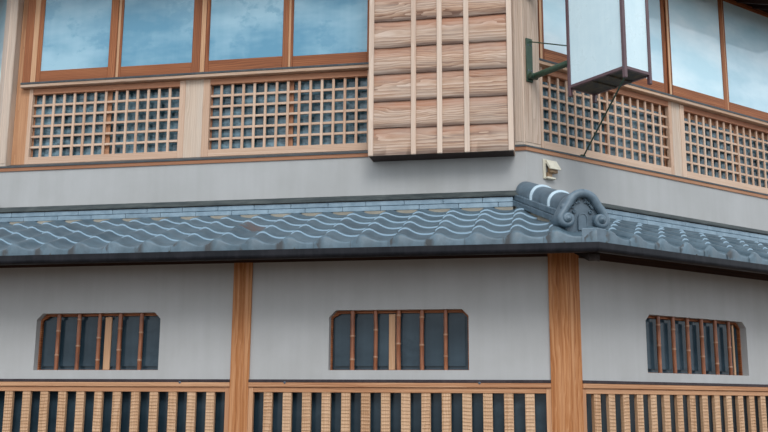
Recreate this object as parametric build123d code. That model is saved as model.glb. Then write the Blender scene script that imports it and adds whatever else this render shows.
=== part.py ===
"""Machiya townhouse on a cut-off street corner: a plastered ground floor with waist lattices and
barred windows, a tiled pent roof, and a set-back upper floor of lattices, glass and a shutter box.

Millimetres, +Z up. The front face looks along -Y and its lower wall face lies near Y = 0 before the
whole plan is moved so that the origin is the middle of the footprint's box, at ground level.
"""

import os
from math import cos, radians, sin

from build123d import *
from numpy.linalg import solve

# Plan
FRONT_WIDTH = 6020.0  # lower front face, from arris to arris
WING_LENGTH = 5070.0  # lower side faces, from the arris to the end of the party wall
WING_TURN = 45.0  # how far each side street turns away from the front
FRONT_SETBACK = 910.0  # upper timber frames behind the lower front face
WING_SETBACK = 910.0  # the same on the two side faces
PARTY_WALL = 150.0

# Levels above the ground
FOUNDATION_TOP = 200.0
RAIL_TOP = 1700.0
PLASTER_TOP = 2690.0
UPPER_FLOOR_UNDERSIDE = 3020.0
BAND_TOP = 3890.0
SILL_TOP = 4755.0
WINDOW_HEAD = 5900.0

# Lower storey
FLOOR_BOARDS = 30.0
GROUND_SILL_HEIGHT = 100.0
POST = 165.0
CORNER_POST_FACE = 145.0
CORNER_POST_DEPTH = 150.0
FRONT_BAY = 2730.0  # from the right arris to the middle of the front post
WING_POST_AT = 3290.0  # from the arris to the middle of the side post
PLASTER_RECESS = 18.0  # plaster behind the faces of the posts
PLASTER_THICKNESS = 110.0
RAIL_HEIGHT = 66.0
RAIL_PROUD = 12.0
LATTICE_DEPTH = 36.0
LATTICE_RECESS = 5.0
LATTICE_BAR = 75.0
LATTICE_PITCH = 168.0
LATTICE_FRAME = 40.0
GLASS = 5.0
LOWER_GLASS_RECESS = 100.0

# Barred windows in the lower plaster
WINDOW_SILL = 1777.0
WINDOW_HEIGHT = 496.0
WINDOW_CHAMFER = 55.0
FRONT_WINDOW_WIDTH = 1170.0
WING_WINDOW_WIDTH = 1400.0
RIGHT_WINDOW_FROM_ARRIS = 1380.0
LEFT_WINDOW_FROM_ARRIS = 4056.0
WING_WINDOW_FROM_ARRIS = 1648.0
WINDOW_SASH = 35.0
WINDOW_SASH_DEPTH = 30.0
BAMBOO_RADIUS = 19.0
BAMBOO_SIDES = 6
BAMBOO_PITCH = 196.0
BAMBOO_RECESS = 60.0

# Entrance at the end of the right side
DOOR_HEAD = 2050.0
DOOR_DEPTH = 33.0
DOOR_STILE = 60.0
DOOR_BAR = 24.0
DOOR_FOOT = 320.0
DOOR_COLUMNS = 5
DOOR_ROWS = 3
DOOR_TRACK_GAP = 4.0

# Pent roof
PENT_OVERHANG = 520.0
PENT_EAVE_UNDERSIDE = 2636.0
PENT_PITCH = 0.395
DECK = 100.0  # boards and the tiles' bed
TILE = 58.0
RAFTER_DEPTH = 30.0
RAFTER_WIDTH = 45.0
RAFTER_SPACING = 455.0
RAFTER_SHY = 160.0  # rafter ends behind the eave
HIP_RAFTER_WIDTH = 90.0
HIP_RAFTER_DEPTH = 165.0
HIP_BED_WIDTH = 110.0
HIP_RIDGE_WIDTH = 300.0
HIP_RIDGE_HEIGHT = 105.0
HIP_CAP_RADIUS = 100.0
WALL_COURSE_DEPTH = 100.0
WALL_COURSE_HEIGHT = 73.0
FLASHING_RISE = 92.0
GUTTER_RADIUS = 35.0
GUTTER_SIDE = 40.0  # straight part above the half round
GUTTER_WALL = 4.0
GUTTER_TOP = 2705.0

# Ridge-end tile at the foot of each hip
RIDGE_END_SETBACK = 180.0  # from the eave's corner to the tile's face, along the hip
RIDGE_END_WIDTH = 410.0
RIDGE_END_HEIGHT = 300.0
RIDGE_END_DEPTH = 150.0
RIDGE_END_ARCH = 150.0
SCROLL_RADIUS = 65.0
BAND_WIDTH = 45.0
BAND_RELIEF = 30.0

# Upper storey
UPPER_FLOOR = 160.0
BAND_PROUD = 120.0  # plaster band in front of the timber frames
BAND_THICKNESS = 150.0
CAP_DROP = 55.0  # fall of the band's sloped top
CAP_BOARD = 45.0
CAP_PROUD = 12.0
UPPER_CORNER_PROUD = 90.0  # corner posts in front of the timber frames
UPPER_CORNER_FACE = 85.0
UPPER_CORNER_WING_FACE = 210.0
UPPER_CORNER_DEPTH = 210.0
UPPER_POST = 175.0
UPPER_POST_DEPTH = 120.0
FRONT_JAMB = 170.0
WING_JAMB = 130.0
FRONT_WINDOW_BAY = 1730.0
LATTICE_TOP_RAIL = 62.0
LATTICE_BOTTOM_RAIL = 75.0
FINE_BAR = 28.0
FINE_FRAME = 50.0
FINE_DEPTH = 30.0
FINE_RECESS = 15.0
FINE_ROWS = 6
FINE_PITCH = 118.0
SILL_HEIGHT = 55.0
SILL_PROUD = 70.0
SASHES = 4  # in one row on each side
SASH_DEPTH = 36.0
SASH_PROUD = 45.0  # sashes slide on the sill in front of the posts
SASH_LAP = 90.0  # over the first post of a row
SASH_FRAME = 60.0
SASH_FOOT = 107.0
MEETING_STILE = 118.0
LATTICE_GLASS_RECESS = 86.0
CEILING = 24.0

# Shutter box
BOX_PROUD = 330.0
BOX_JAMB = 30.0  # from the windows to the box
BOX_BOARD = 24.0
BOX_UNDERSIDE = BAND_TOP - 150.0
BATTEN_WIDTH = 50.0
BATTEN_DEPTH = 18.0
INNER_BATTENS = 3
BATTEN_SPACING = 250.0

# Main roof
MAIN_OVERHANG = 600.0
MAIN_PITCH = 0.42
MAIN_EAVE_UNDERSIDE = WINDOW_HEAD + 60.0
MAIN_DECK = 90.0
MAIN_RIDGE_WIDTH = 220.0
MAIN_RIDGE_HEIGHT = 130.0
MAIN_CAP_RADIUS = 85.0

# Hanging sign on the right side
SIGN_WIDE = 605.0
SIGN_NARROW = 313.0
SIGN_HEIGHT = 1250.0
SIGN_BOTTOM = 4350.0
SIGN_LEG = 120.0
SIGN_TUBE = 30.0
SIGN_PANEL_INSET = 6.0
SIGN_FROM_ARRIS = 445.0
SIGN_OFF_FRAMES = 640.0
ARM_RADIUS = 17.0
ARM_LOW = 4520.0
ARM_HIGH = 5350.0
PLATE_WIDTH = 90.0
PLATE_THICKNESS = 10.0
PLATE_HEIGHT = 460.0
PLATE_BELOW_ARM = 60.0
STAY_RADIUS = 8.0
STAY_FOOT = 1215.0  # from the arris to the stay's foot on the plaster band
STAY_DROP = 50.0  # from the lattices' foot down to it

# Small lamp box on the right side's plaster band
LAMP_BOX_FROM_ARRIS = 505.0
LAMP_BOX_WIDTH = 150.0
LAMP_BOX_HEIGHT = 165.0
LAMP_BOX_DEPTH = 55.0
LAMP_BOX_TOP = 3707.0

# Reach of construction solids, well beyond the house
FAR = 15000.0

FRONT, RIGHT, REAR_RIGHT, REAR_LEFT, LEFT = range(5)
STREET = (FRONT, RIGHT, LEFT)
NORMAL_ANGLES = (-90.0, WING_TURN - 90.0, WING_TURN, 180.0 - WING_TURN, -90.0 - WING_TURN)


def normal(side):
    """Outward direction of one side of the plan."""
    angle = radians(NORMAL_ANGLES[side])
    return cos(angle), sin(angle)


def reach(side):
    """Distance of a side's lower face from the middle of the front face, along its normal."""
    half_front = FRONT_WIDTH / 2
    if side == FRONT:
        return 0.0
    if side in (RIGHT, LEFT):
        return half_front * sin(radians(WING_TURN))
    return half_front * cos(radians(WING_TURN)) + WING_LENGTH


def setback(side):
    """How far the upper timber frames stand behind the lower face."""
    if side == FRONT:
        return FRONT_SETBACK
    return WING_SETBACK if side in STREET else 0.0


def upper(proud=0.0, party=0.0):
    """Offsets of the upper frames' faces, moved out by proud, with the party sides at party."""
    return {side: proud - setback(side) if side in STREET else party for side in range(5)}


def level(street, party=0.0):
    """One offset for the street sides and one for the party sides."""
    return {side: street if side in STREET else party for side in range(5)}


def meet(side_a, side_b, offsets):
    """Plan corner of two sides that are pushed out by their offsets."""
    rows = [normal(side_a), normal(side_b)]
    return tuple(float(v) for v in solve(rows, [reach(s) + offsets[s] for s in (side_a, side_b)]))


def prism(points, low, high):
    """Upright solid over a plan outline."""
    return Pos(0, 0, low) * extrude(make_face(Polyline(*points, close=True)), high - low)


def storey(offsets, low, high):
    """Upright solid over the whole plan, with each side pushed out by its offset."""
    return prism([meet(side, (side + 1) % 5, offsets) for side in range(5)], low, high)


def strip(side, outer, inner, low, high):
    """Upright wall along one side between two sets of offsets, mitred at its corners."""
    before, after = (side - 1) % 5, (side + 1) % 5
    outer_edge = [meet(before, side, outer), meet(side, after, outer)]
    inner_edge = [meet(side, after, inner), meet(before, side, inner)]
    return prism(outer_edge + inner_edge, low, high)


def along(side, section):
    """Long prism parallel to one side, from a section of (offset, height) points."""
    x, y = normal(side)
    plane = Plane(origin=(x * reach(side), y * reach(side), 0), x_dir=(x, y, 0), z_dir=(y, -x, 0))
    return extrude(plane * make_face(Polyline(*section, close=True)), FAR, both=True)


def on_face(side, shape):
    """A shape drawn with x along the face, y into the house and z up, set on one street side."""
    arris = FRONT_WIDTH / 2 if side == RIGHT else 0.0
    x, y = normal(side)
    return Plane(origin=(arris, 0, 0), x_dir=(-y, x, 0), z_dir=(0, 0, 1)) * shape


def mirrored(shape):
    """The same piece on the other side of the house's middle plane."""
    return mirror(shape, Plane.YZ)


def block(x0, x1, y0, y1, z0, z1):
    """Box between two corners."""
    return Pos((x0 + x1) / 2, (y0 + y1) / 2, (z0 + z1) / 2) * Box(x1 - x0, y1 - y0, z1 - z0)


def grid_panel(x0, x1, y0, z0, z1, depth, columns, rows, bar, frame, foot=None, top=None):
    """Flat frame with a grid of openings, its outer face y0 behind the lower face."""
    foot = frame if foot is None else foot
    top = frame if top is None else top
    pitch_x = (x1 - x0 - 2 * frame + bar) / columns
    pitch_z = (z1 - z0 - foot - top + bar) / rows
    hole = Rectangle(pitch_x - bar, pitch_z - bar)
    middle_z = (foot - top) / 2
    face = Rectangle(x1 - x0, z1 - z0)
    face -= [Pos(0, middle_z) * spot * hole for spot in GridLocations(pitch_x, pitch_z, columns, rows)]
    return Pos((x0 + x1) / 2, y0, (z0 + z1) / 2) * extrude(Plane.XZ * face, -depth)


def rod(start, end, radius):
    """Round bar between two points."""
    axis = Vector(*end) - Vector(*start)
    return extrude(Plane(origin=start, z_dir=axis) * Circle(radius), axis.length)


def under_slopes(edges, z_edge, pitch, margin=0.0):
    """Everything under sloping planes that rise inwards from each side's edge."""
    volume = None
    for side, edge in edges.items():
        section = [
            (edge + margin, -FAR),
            (edge + margin, z_edge - pitch * margin),
            (-FAR, z_edge + pitch * (edge + FAR)),
            (-FAR, -FAR),
        ]
        wedge = along(side, section)
        volume = wedge if volume is None else volume & wedge
    return volume


# Offsets of the two roofs' edges on the sides that slope
PENT_EDGES = {side: PENT_OVERHANG for side in STREET}
MAIN_EDGES = upper(MAIN_OVERHANG)
BAND_FACE = upper(BAND_PROUD)
BAND_BACK = upper(BAND_PROUD - BAND_THICKNESS, -PARTY_WALL)


def under_pent(rise, margin=0.0):
    """Everything below the pent roof's deck underside, raised by rise."""
    return under_slopes(PENT_EDGES, PENT_EAVE_UNDERSIDE + rise, PENT_PITCH, margin)


def under_main(rise, margin=0.0):
    """Everything below the main roof's deck underside, raised by rise."""
    return under_slopes(MAIN_EDGES, MAIN_EAVE_UNDERSIDE + rise, MAIN_PITCH, margin)


def pent_ring(low, high):
    """The band between the pent roof's edge and the upper wall."""
    return storey(level(PENT_OVERHANG), low, high) - storey({**BAND_FACE, **party_offsets(FAR)}, low, high)


def party_offsets(offset):
    """Offsets of the two party sides alone."""
    return {REAR_RIGHT: offset, REAR_LEFT: offset}


def pent_layer(low, high):
    """Pent roof layer between two heights above the deck's underside."""
    margin = HIP_CAP_RADIUS
    return (under_pent(high) - under_pent(low, margin)) & pent_ring(0, FAR)


def hip_strip(width, start=-FAR):
    """Upright slab over the right-hand hip, from its start to beyond the upper wall's corner."""
    foot = Vector(*meet(FRONT, RIGHT, level(PENT_OVERHANG)))
    head = Vector(*meet(FRONT, RIGHT, BAND_FACE))
    run = head - foot
    plane = Plane(origin=foot, x_dir=run, z_dir=(0, 0, 1))
    return plane * block(start, run.length + width, -width / 2, width / 2, 0, FAR)


def both(shape):
    """A right-hand piece and its mirror image, as separate solids."""
    return Compound([*shape.solids(), *mirrored(shape).solids()])


def joined(shapes):
    """Solids that don't touch, in one node."""
    return Compound([solid for shape in shapes for solid in shape.solids()])


# Positions along the faces
HALF_FRONT = FRONT_WIDTH / 2
FRONT_POST_X = HALF_FRONT - FRONT_BAY
FRONT_BAYS = {
    "left": (CORNER_POST_FACE - HALF_FRONT, FRONT_POST_X - POST / 2),
    "right": (FRONT_POST_X + POST / 2, HALF_FRONT - CORNER_POST_FACE),
}
WING_BAY = (CORNER_POST_FACE, WING_POST_AT - POST / 2)
END_BAY = (WING_POST_AT + POST / 2, WING_LENGTH - PARTY_WALL - POST)
UPPER_CORNER_X, UPPER_CORNER_Y = meet(FRONT, RIGHT, upper(UPPER_CORNER_PROUD))
UPPER_ARRIS = Vector(UPPER_CORNER_X - HALF_FRONT, UPPER_CORNER_Y).dot(Vector(1, 0).rotate(Axis.Z, WING_TURN))
UPPER_FRONT_END = UPPER_CORNER_X - UPPER_CORNER_FACE
UPPER_FRONT_START = FRONT_JAMB - UPPER_FRONT_END
UPPER_FRONT_BAYS = [
    (start, start + FRONT_WINDOW_BAY)
    for start in (UPPER_FRONT_START, UPPER_FRONT_START + FRONT_WINDOW_BAY + UPPER_POST)
]
UPPER_WING_JAMB = UPPER_ARRIS + UPPER_CORNER_WING_FACE
UPPER_WING_START = UPPER_WING_JAMB + WING_JAMB
UPPER_WING_END = WING_LENGTH - PARTY_WALL
UPPER_WING_BAY = (UPPER_WING_END - UPPER_WING_START - 2 * UPPER_POST) / 2
UPPER_WING_BAYS = [
    (start, start + UPPER_WING_BAY)
    for start in (UPPER_WING_START, UPPER_WING_START + UPPER_WING_BAY + UPPER_POST)
]
UPPER_BAYS = {FRONT: UPPER_FRONT_BAYS, RIGHT: UPPER_WING_BAYS}
SILL_SPANS = {FRONT: (-UPPER_FRONT_END, UPPER_FRONT_BAYS[1][1]), RIGHT: (UPPER_WING_JAMB, UPPER_WING_END)}
SASH_SPANS = {side: (UPPER_BAYS[side][0][0] - SASH_LAP, UPPER_BAYS[side][1][1]) for side in (FRONT, RIGHT)}
BOX_SPAN = (UPPER_FRONT_BAYS[1][1] + BOX_JAMB, UPPER_FRONT_END)


def window_hole(centre, width, depth):
    """Opening with cut-off upper corners."""
    outline = Pos(centre, WINDOW_SILL + WINDOW_HEIGHT / 2) * Rectangle(width, WINDOW_HEIGHT)
    upper_corners = outline.vertices().sort_by(Axis.Y)[-2:]
    outline = chamfer(upper_corners, WINDOW_CHAMFER)
    return Pos(0, depth, 0) * extrude(Plane.XZ * outline, 2 * depth)


def plaster_panel(bay, low, windows=()):
    """Plaster between two posts, with its windows cut through."""
    panel = block(*bay, PLASTER_RECESS, PLASTER_RECESS + PLASTER_THICKNESS, low, PLASTER_TOP)
    for centre, width in windows:
        panel -= window_hole(centre, width, 2 * PLASTER_THICKNESS)
    return panel


FRONT_WINDOWS = {
    "left": HALF_FRONT - LEFT_WINDOW_FROM_ARRIS,
    "right": HALF_FRONT - RIGHT_WINDOW_FROM_ARRIS,
}


def front_walls():
    panels = []
    for name, bay in FRONT_BAYS.items():
        panels.append(plaster_panel(bay, RAIL_TOP, [(FRONT_WINDOWS[name], FRONT_WINDOW_WIDTH)]))
    return joined(on_face(FRONT, panel) for panel in panels)


def wing_wall():
    return on_face(RIGHT, plaster_panel(WING_BAY, RAIL_TOP, [(WING_WINDOW_FROM_ARRIS, WING_WINDOW_WIDTH)]))


def right_walls():
    above_door = plaster_panel(END_BAY, DOOR_HEAD + RAIL_HEIGHT)
    return joined([wing_wall(), on_face(RIGHT, above_door)])


def left_walls():
    return joined([mirrored(wing_wall()), mirrored(on_face(RIGHT, plaster_panel(END_BAY, RAIL_TOP)))])


def rail(bay, top):
    """Timber across a bay, a little proud of the posts."""
    return block(*bay, -RAIL_PROUD, PLASTER_RECESS + PLASTER_THICKNESS, top - RAIL_HEIGHT, top)


def waist_rails():
    front = [on_face(FRONT, rail(bay, RAIL_TOP)) for bay in FRONT_BAYS.values()]
    wing = on_face(RIGHT, rail(WING_BAY, RAIL_TOP))
    lintel = on_face(RIGHT, rail(END_BAY, DOOR_HEAD + RAIL_HEIGHT))
    left_end = mirrored(on_face(RIGHT, rail(END_BAY, RAIL_TOP)))
    return joined([*front, wing, mirrored(wing), lintel, left_end])


def ground_sill(bay):
    top = FOUNDATION_TOP + GROUND_SILL_HEIGHT
    return block(*bay, 0, PLASTER_RECESS + PLASTER_THICKNESS, FOUNDATION_TOP, top)


def ground_sills():
    front = [on_face(FRONT, ground_sill(bay)) for bay in FRONT_BAYS.values()]
    wing = [on_face(RIGHT, ground_sill(bay)) for bay in (WING_BAY, END_BAY)]
    return joined([*front, *wing, *(mirrored(sill) for sill in wing)])


def waist_lattice(bay):
    """Upright bars in a frame, from the ground sill to the waist rail."""
    start, end = bay
    openings = round((end - start - 2 * LATTICE_FRAME + LATTICE_BAR) / LATTICE_PITCH)
    low = FOUNDATION_TOP + GROUND_SILL_HEIGHT
    high = RAIL_TOP - RAIL_HEIGHT
    return grid_panel(
        start, end, LATTICE_RECESS, low, high, LATTICE_DEPTH, openings, 1, LATTICE_BAR, LATTICE_FRAME
    )


def lower_glass():
    """Sheets behind the waist lattices and the barred windows."""
    low, high = FOUNDATION_TOP + GROUND_SILL_HEIGHT, RAIL_TOP - RAIL_HEIGHT
    depth = (LOWER_GLASS_RECESS, LOWER_GLASS_RECESS + GLASS)

    def window_sheet(centre, width):
        half = width / 2 - WINDOW_SASH
        z0, z1 = WINDOW_SILL + WINDOW_SASH, WINDOW_SILL + WINDOW_HEIGHT - WINDOW_CHAMFER
        return block(centre - half, centre + half, *depth, z0, z1)

    front = [block(*bay, *depth, low, high) for bay in FRONT_BAYS.values()]
    front += [window_sheet(centre, FRONT_WINDOW_WIDTH) for centre in FRONT_WINDOWS.values()]
    wing = [block(*WING_BAY, *depth, low, high), window_sheet(WING_WINDOW_FROM_ARRIS, WING_WINDOW_WIDTH)]
    end = on_face(RIGHT, block(*END_BAY, *depth, low, high))
    wing = [on_face(RIGHT, sheet) for sheet in wing]
    return joined([*(on_face(FRONT, s) for s in front), *wing, *(mirrored(s) for s in wing), mirrored(end)])


def window_sash(centre, width):
    """Two sliding sashes in the back of a barred window, cut to its chamfered corners."""
    back = PLASTER_RECESS + PLASTER_THICKNESS
    x0, x1 = centre - width / 2, centre + width / 2
    z0, z1 = WINDOW_SILL, WINDOW_SILL + WINDOW_HEIGHT
    frame = grid_panel(
        x0, x1, back - WINDOW_SASH_DEPTH, z0, z1, WINDOW_SASH_DEPTH, 2, 1, 2 * WINDOW_SASH, WINDOW_SASH,
        top=WINDOW_CHAMFER,
    )
    return (frame & window_hole(centre, width, 2 * PLASTER_THICKNESS)) - block(
        x0 + WINDOW_SASH, x1 - WINDOW_SASH, LOWER_GLASS_RECESS, LOWER_GLASS_RECESS + GLASS,
        z0 + WINDOW_SASH, z1 - WINDOW_CHAMFER,
    )


def bamboo_bars(centre, count):
    """Evenly spaced upright bars across one barred window."""
    bars = []
    for i in range(count):
        x = centre + (i - (count - 1) / 2) * BAMBOO_PITCH
        section = Pos(x, BAMBOO_RECESS, WINDOW_SILL) * RegularPolygon(BAMBOO_RADIUS, BAMBOO_SIDES)
        bars.append(extrude(section, WINDOW_HEIGHT))
    return bars


def windows_with(make):
    """Pieces for all four barred windows, from a function of centre and width."""
    front = [on_face(FRONT, make(x, FRONT_WINDOW_WIDTH)) for x in FRONT_WINDOWS.values()]
    wing = on_face(RIGHT, make(WING_WINDOW_FROM_ARRIS, WING_WINDOW_WIDTH))
    return joined([*front, wing, mirrored(wing)])


def window_bars(centre, width):
    count = round(width / BAMBOO_PITCH) - 1
    return joined(bamboo_bars(centre, count))


def corner_post(offsets, front_face, wing_face, depth, low, high):
    """Five-sided post that shows one face to each street."""
    x, y = meet(FRONT, RIGHT, offsets)
    along_x, along_y = cos(radians(WING_TURN)), sin(radians(WING_TURN))
    points = [
        (x - front_face, y),
        (x, y),
        (x + wing_face * along_x, y + wing_face * along_y),
        (x + wing_face * along_x - depth * along_y, y + wing_face * along_y + depth * along_x),
        (x - front_face, y + depth),
    ]
    return prism(points, low, high)


def lower_corner_posts():
    post = corner_post(level(0), CORNER_POST_FACE, CORNER_POST_FACE, CORNER_POST_DEPTH, FOUNDATION_TOP, FAR)
    return both(post & under_pent(-HIP_RAFTER_DEPTH + DECK))


def lower_wall_posts():
    def post(side, start, end):
        return on_face(side, block(start, end, 0, POST, FOUNDATION_TOP, PLASTER_TOP))

    front = post(FRONT, FRONT_BAYS["left"][1], FRONT_BAYS["right"][0])
    wing = post(RIGHT, WING_BAY[1], END_BAY[0])
    end = post(RIGHT, END_BAY[1], END_BAY[1] + POST)
    return joined([front, wing, end, mirrored(wing), mirrored(end)])


def wall_plates():
    """Beams on the posts, under the pent roof's deck, between the corner posts."""
    right_hip = hip_strip(HIP_RAFTER_WIDTH)

    def beam(side, start, end):
        upright = block(start, end, 0, PLASTER_RECESS + PLASTER_THICKNESS, PLASTER_TOP, FAR)
        return (on_face(side, upright) & under_pent(0)) - right_hip

    front = beam(FRONT, FRONT_BAYS["left"][0], FRONT_BAYS["right"][1]) - mirrored(right_hip)
    wing = beam(RIGHT, WING_BAY[0], END_BAY[1] + POST)
    return joined([front, wing, mirrored(wing)])


def entrance_doors():
    """A pair of sliding lattice doors on two tracks."""
    start, end = END_BAY
    middle = (start + end) / 2
    low, high = FOUNDATION_TOP + GROUND_SILL_HEIGHT, DOOR_HEAD
    leaves = []
    for x0, x1, track in ((start, middle + DOOR_STILE / 2, 0), (middle - DOOR_STILE / 2, end, 1)):
        y = LATTICE_RECESS + RAIL_PROUD + track * (DOOR_DEPTH + DOOR_TRACK_GAP)
        leaves.append(
            grid_panel(
                x0, x1, y, low, high, DOOR_DEPTH, DOOR_COLUMNS, DOOR_ROWS, DOOR_BAR, DOOR_STILE,
                foot=DOOR_FOOT,
            )
        )
    return joined(on_face(RIGHT, leaf) for leaf in leaves)


def party_wall():
    """Plain end wall from the ground to the roof, stepped back above the pent roof."""
    outer = {**level(0), **party_offsets(0)}
    inner = {**level(0), **party_offsets(-PARTY_WALL)}
    wall = strip(REAR_RIGHT, outer, inner, FOUNDATION_TOP, FAR) & under_main(0)
    band = BAND_FACE[RIGHT]
    z_eave = PENT_EAVE_UNDERSIDE
    z_band = z_eave + PENT_PITCH * (PENT_OVERHANG - band)
    return wall - along(RIGHT, [(PENT_OVERHANG, z_eave), (band, z_band), (band, FAR), (PENT_OVERHANG, FAR)])


def foundation():
    return storey(level(0), 0, FOUNDATION_TOP)


def ground_floor():
    inner = level(-PLASTER_RECESS - PLASTER_THICKNESS - POST, -PARTY_WALL)
    return storey(inner, FOUNDATION_TOP, FOUNDATION_TOP + FLOOR_BOARDS)


def upper_floor():
    offsets = {**BAND_FACE, **party_offsets(-PARTY_WALL)}
    return storey(offsets, UPPER_FLOOR_UNDERSIDE, UPPER_FLOOR_UNDERSIDE + UPPER_FLOOR)


def hip_rafters():
    """Timbers under the two hips, from the eave to the upper wall."""
    ring = pent_ring(0, FAR)
    hip = (under_pent(DECK) - under_pent(DECK - HIP_RAFTER_DEPTH, HIP_CAP_RADIUS)) & ring
    return both(hip & hip_strip(HIP_RAFTER_WIDTH))


def pent_decks():
    layer = pent_layer(0, DECK) - hip_strip(HIP_RAFTER_WIDTH)
    return joined([layer - mirrored(hip_strip(HIP_RAFTER_WIDTH))])


def pent_tiles():
    layer = pent_layer(DECK, DECK + TILE) - hip_strip(HIP_BED_WIDTH)
    layer -= mirrored(hip_strip(HIP_BED_WIDTH))
    courses = {**upper(BAND_PROUD + WALL_COURSE_DEPTH), **party_offsets(FAR)}
    return joined([layer - storey(courses, 0, FAR)])


def wall_courses():
    """Flat tile courses and flashing where the pent roof meets the upper wall."""
    pieces = []
    for side in (FRONT, RIGHT):
        back = BAND_FACE[side]
        face = back + WALL_COURSE_DEPTH
        z_face = PENT_EAVE_UNDERSIDE + DECK + PENT_PITCH * (PENT_OVERHANG - face)
        z_back = z_face + PENT_PITCH * WALL_COURSE_DEPTH
        top = z_face + TILE + WALL_COURSE_HEIGHT
        section = [(face, z_face), (back, z_back), (back, top + FLASHING_RISE), (face, top)]
        inner = {**BAND_FACE, **party_offsets(0)}
        outer = {**upper(BAND_PROUD + WALL_COURSE_DEPTH), **party_offsets(0)}
        piece = along(side, section) & strip(side, outer, inner, 0, FAR)
        piece -= hip_strip(HIP_RIDGE_WIDTH)
        pieces.append(piece - mirrored(hip_strip(HIP_RIDGE_WIDTH)))
    front, right = pieces
    return joined([front, right, mirrored(right)])


def hip_line(rise):
    """Ends of the right-hand hip, rise above the deck's underside."""
    foot = meet(FRONT, RIGHT, level(PENT_OVERHANG))
    head = meet(FRONT, RIGHT, BAND_FACE)
    x, y = normal(FRONT)
    head_offset = head[0] * x + head[1] * y
    z_head = PENT_EAVE_UNDERSIDE + rise + PENT_PITCH * (PENT_OVERHANG - head_offset)
    return (*foot, PENT_EAVE_UNDERSIDE + rise), (*head, z_head)


def hip_ridge():
    """Flat courses bedded on the hip, with a round cap."""
    ring = pent_ring(0, FAR)
    bed = (under_pent(DECK + TILE) - under_pent(DECK, HIP_CAP_RADIUS)) & hip_strip(HIP_BED_WIDTH)
    courses = under_pent(DECK + TILE + HIP_RIDGE_HEIGHT) - under_pent(DECK + TILE, HIP_CAP_RADIUS)
    cap = rod(*hip_line(DECK + TILE + HIP_RIDGE_HEIGHT), HIP_CAP_RADIUS)
    ridge = (courses + cap) & hip_strip(HIP_RIDGE_WIDTH, RIDGE_END_SETBACK + RIDGE_END_DEPTH)
    return (bed + ridge) & ring


def ridge_end():
    """Arched tile with a raised band that ends in two scrolls, seated on the roof tiles."""
    spring = RIDGE_END_HEIGHT - RIDGE_END_ARCH
    scroll_x = RIDGE_END_WIDTH / 2 - SCROLL_RADIUS
    stem = Rectangle(2 * scroll_x, 2 * spring)
    scrolls = [Pos(side * scroll_x, SCROLL_RADIUS) * Circle(SCROLL_RADIUS) for side in (-1, 1)]
    plate = Pos(0, spring) * Circle(RIDGE_END_ARCH) + stem + scrolls
    recess = Pos(0, spring) * Circle(RIDGE_END_ARCH - BAND_WIDTH)
    recess += Rectangle(2 * scroll_x - 2 * BAND_WIDTH, 2 * spring)
    body = extrude(plate, -RIDGE_END_DEPTH) - extrude(recess - scrolls, -BAND_RELIEF)
    foot, head = (Vector(*end) for end in hip_line(DECK + TILE))
    run = head - foot
    level_run = Vector(run.X, run.Y)
    origin = foot + run * (RIDGE_END_SETBACK / level_run.length)
    seat = Plane(origin=origin, x_dir=(run.Y, -run.X, 0), z_dir=-level_run)
    return (seat * body) - under_pent(DECK + TILE)


def gutter(side):
    """Deep round-bottomed channel along one eave, closed by mitres at the corners."""
    centre = PENT_OVERHANG + GUTTER_RADIUS
    bowl = GUTTER_TOP - GUTTER_SIDE
    x, y = normal(side)
    base = reach(side)
    plane = Plane(origin=(x * base, y * base, 0), x_dir=(x, y, 0), z_dir=(y, -x, 0))

    def cup(radius):
        side_walls = Pos(centre, bowl + GUTTER_SIDE / 2) * Rectangle(2 * radius, GUTTER_SIDE)
        return Pos(centre, bowl) * Circle(radius) + side_walls

    wall = cup(GUTTER_RADIUS) - cup(GUTTER_RADIUS - GUTTER_WALL)
    channel = extrude(plane * wall, FAR, both=True)
    outer = level(PENT_OVERHANG + 2 * GUTTER_RADIUS)
    return channel & strip(side, outer, level(PENT_OVERHANG), 0, FAR)


def eave_rafters():
    """Rafter tails between the lower walls and the pent eave."""
    tails = under_pent(0) - under_pent(-RAFTER_DEPTH, HIP_CAP_RADIUS)
    pieces = []
    for side, start, end in ((FRONT, -HALF_FRONT, HALF_FRONT), (RIGHT, 0, WING_LENGTH)):
        count = round((end - start) / RAFTER_SPACING) - 1
        step = (end - start) / (count + 1)
        for i in range(count):
            x = start + (i + 1) * step
            slat = block(x - RAFTER_WIDTH / 2, x + RAFTER_WIDTH / 2, RAFTER_SHY - PENT_OVERHANG, 0, 0, FAR)
            pieces.append((side, tails & on_face(side, slat)))
    mirrors = [mirrored(piece) for side, piece in pieces if side == RIGHT]
    return joined([*(piece for _, piece in pieces), *mirrors])


def upper_wall(side):
    """Plaster band under the lattices, standing on the upper floor."""
    top_of_floor = UPPER_FLOOR_UNDERSIDE + UPPER_FLOOR
    top = BAND_TOP - CAP_DROP
    return strip(side, {**BAND_FACE, **party_offsets(-PARTY_WALL)}, BAND_BACK, top_of_floor, top)


def band_cap(side):
    """Board along the top of one plaster band, and the sloped flashing behind it."""
    face = BAND_FACE[side]
    front, frames, back = face + CAP_PROUD, face - BAND_PROUD, face - BAND_THICKNESS
    fold = BAND_TOP - CAP_DROP
    foot = fold - CAP_BOARD
    outside = [(face, foot), (front, foot), (front, fold), (frames, BAND_TOP)]
    inside = [(back, BAND_TOP), (back, fold), (face, fold)]
    outer = {**upper(BAND_PROUD + CAP_PROUD), **party_offsets(-PARTY_WALL)}
    return along(side, outside + inside) & strip(side, outer, BAND_BACK, 0, FAR)


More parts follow.
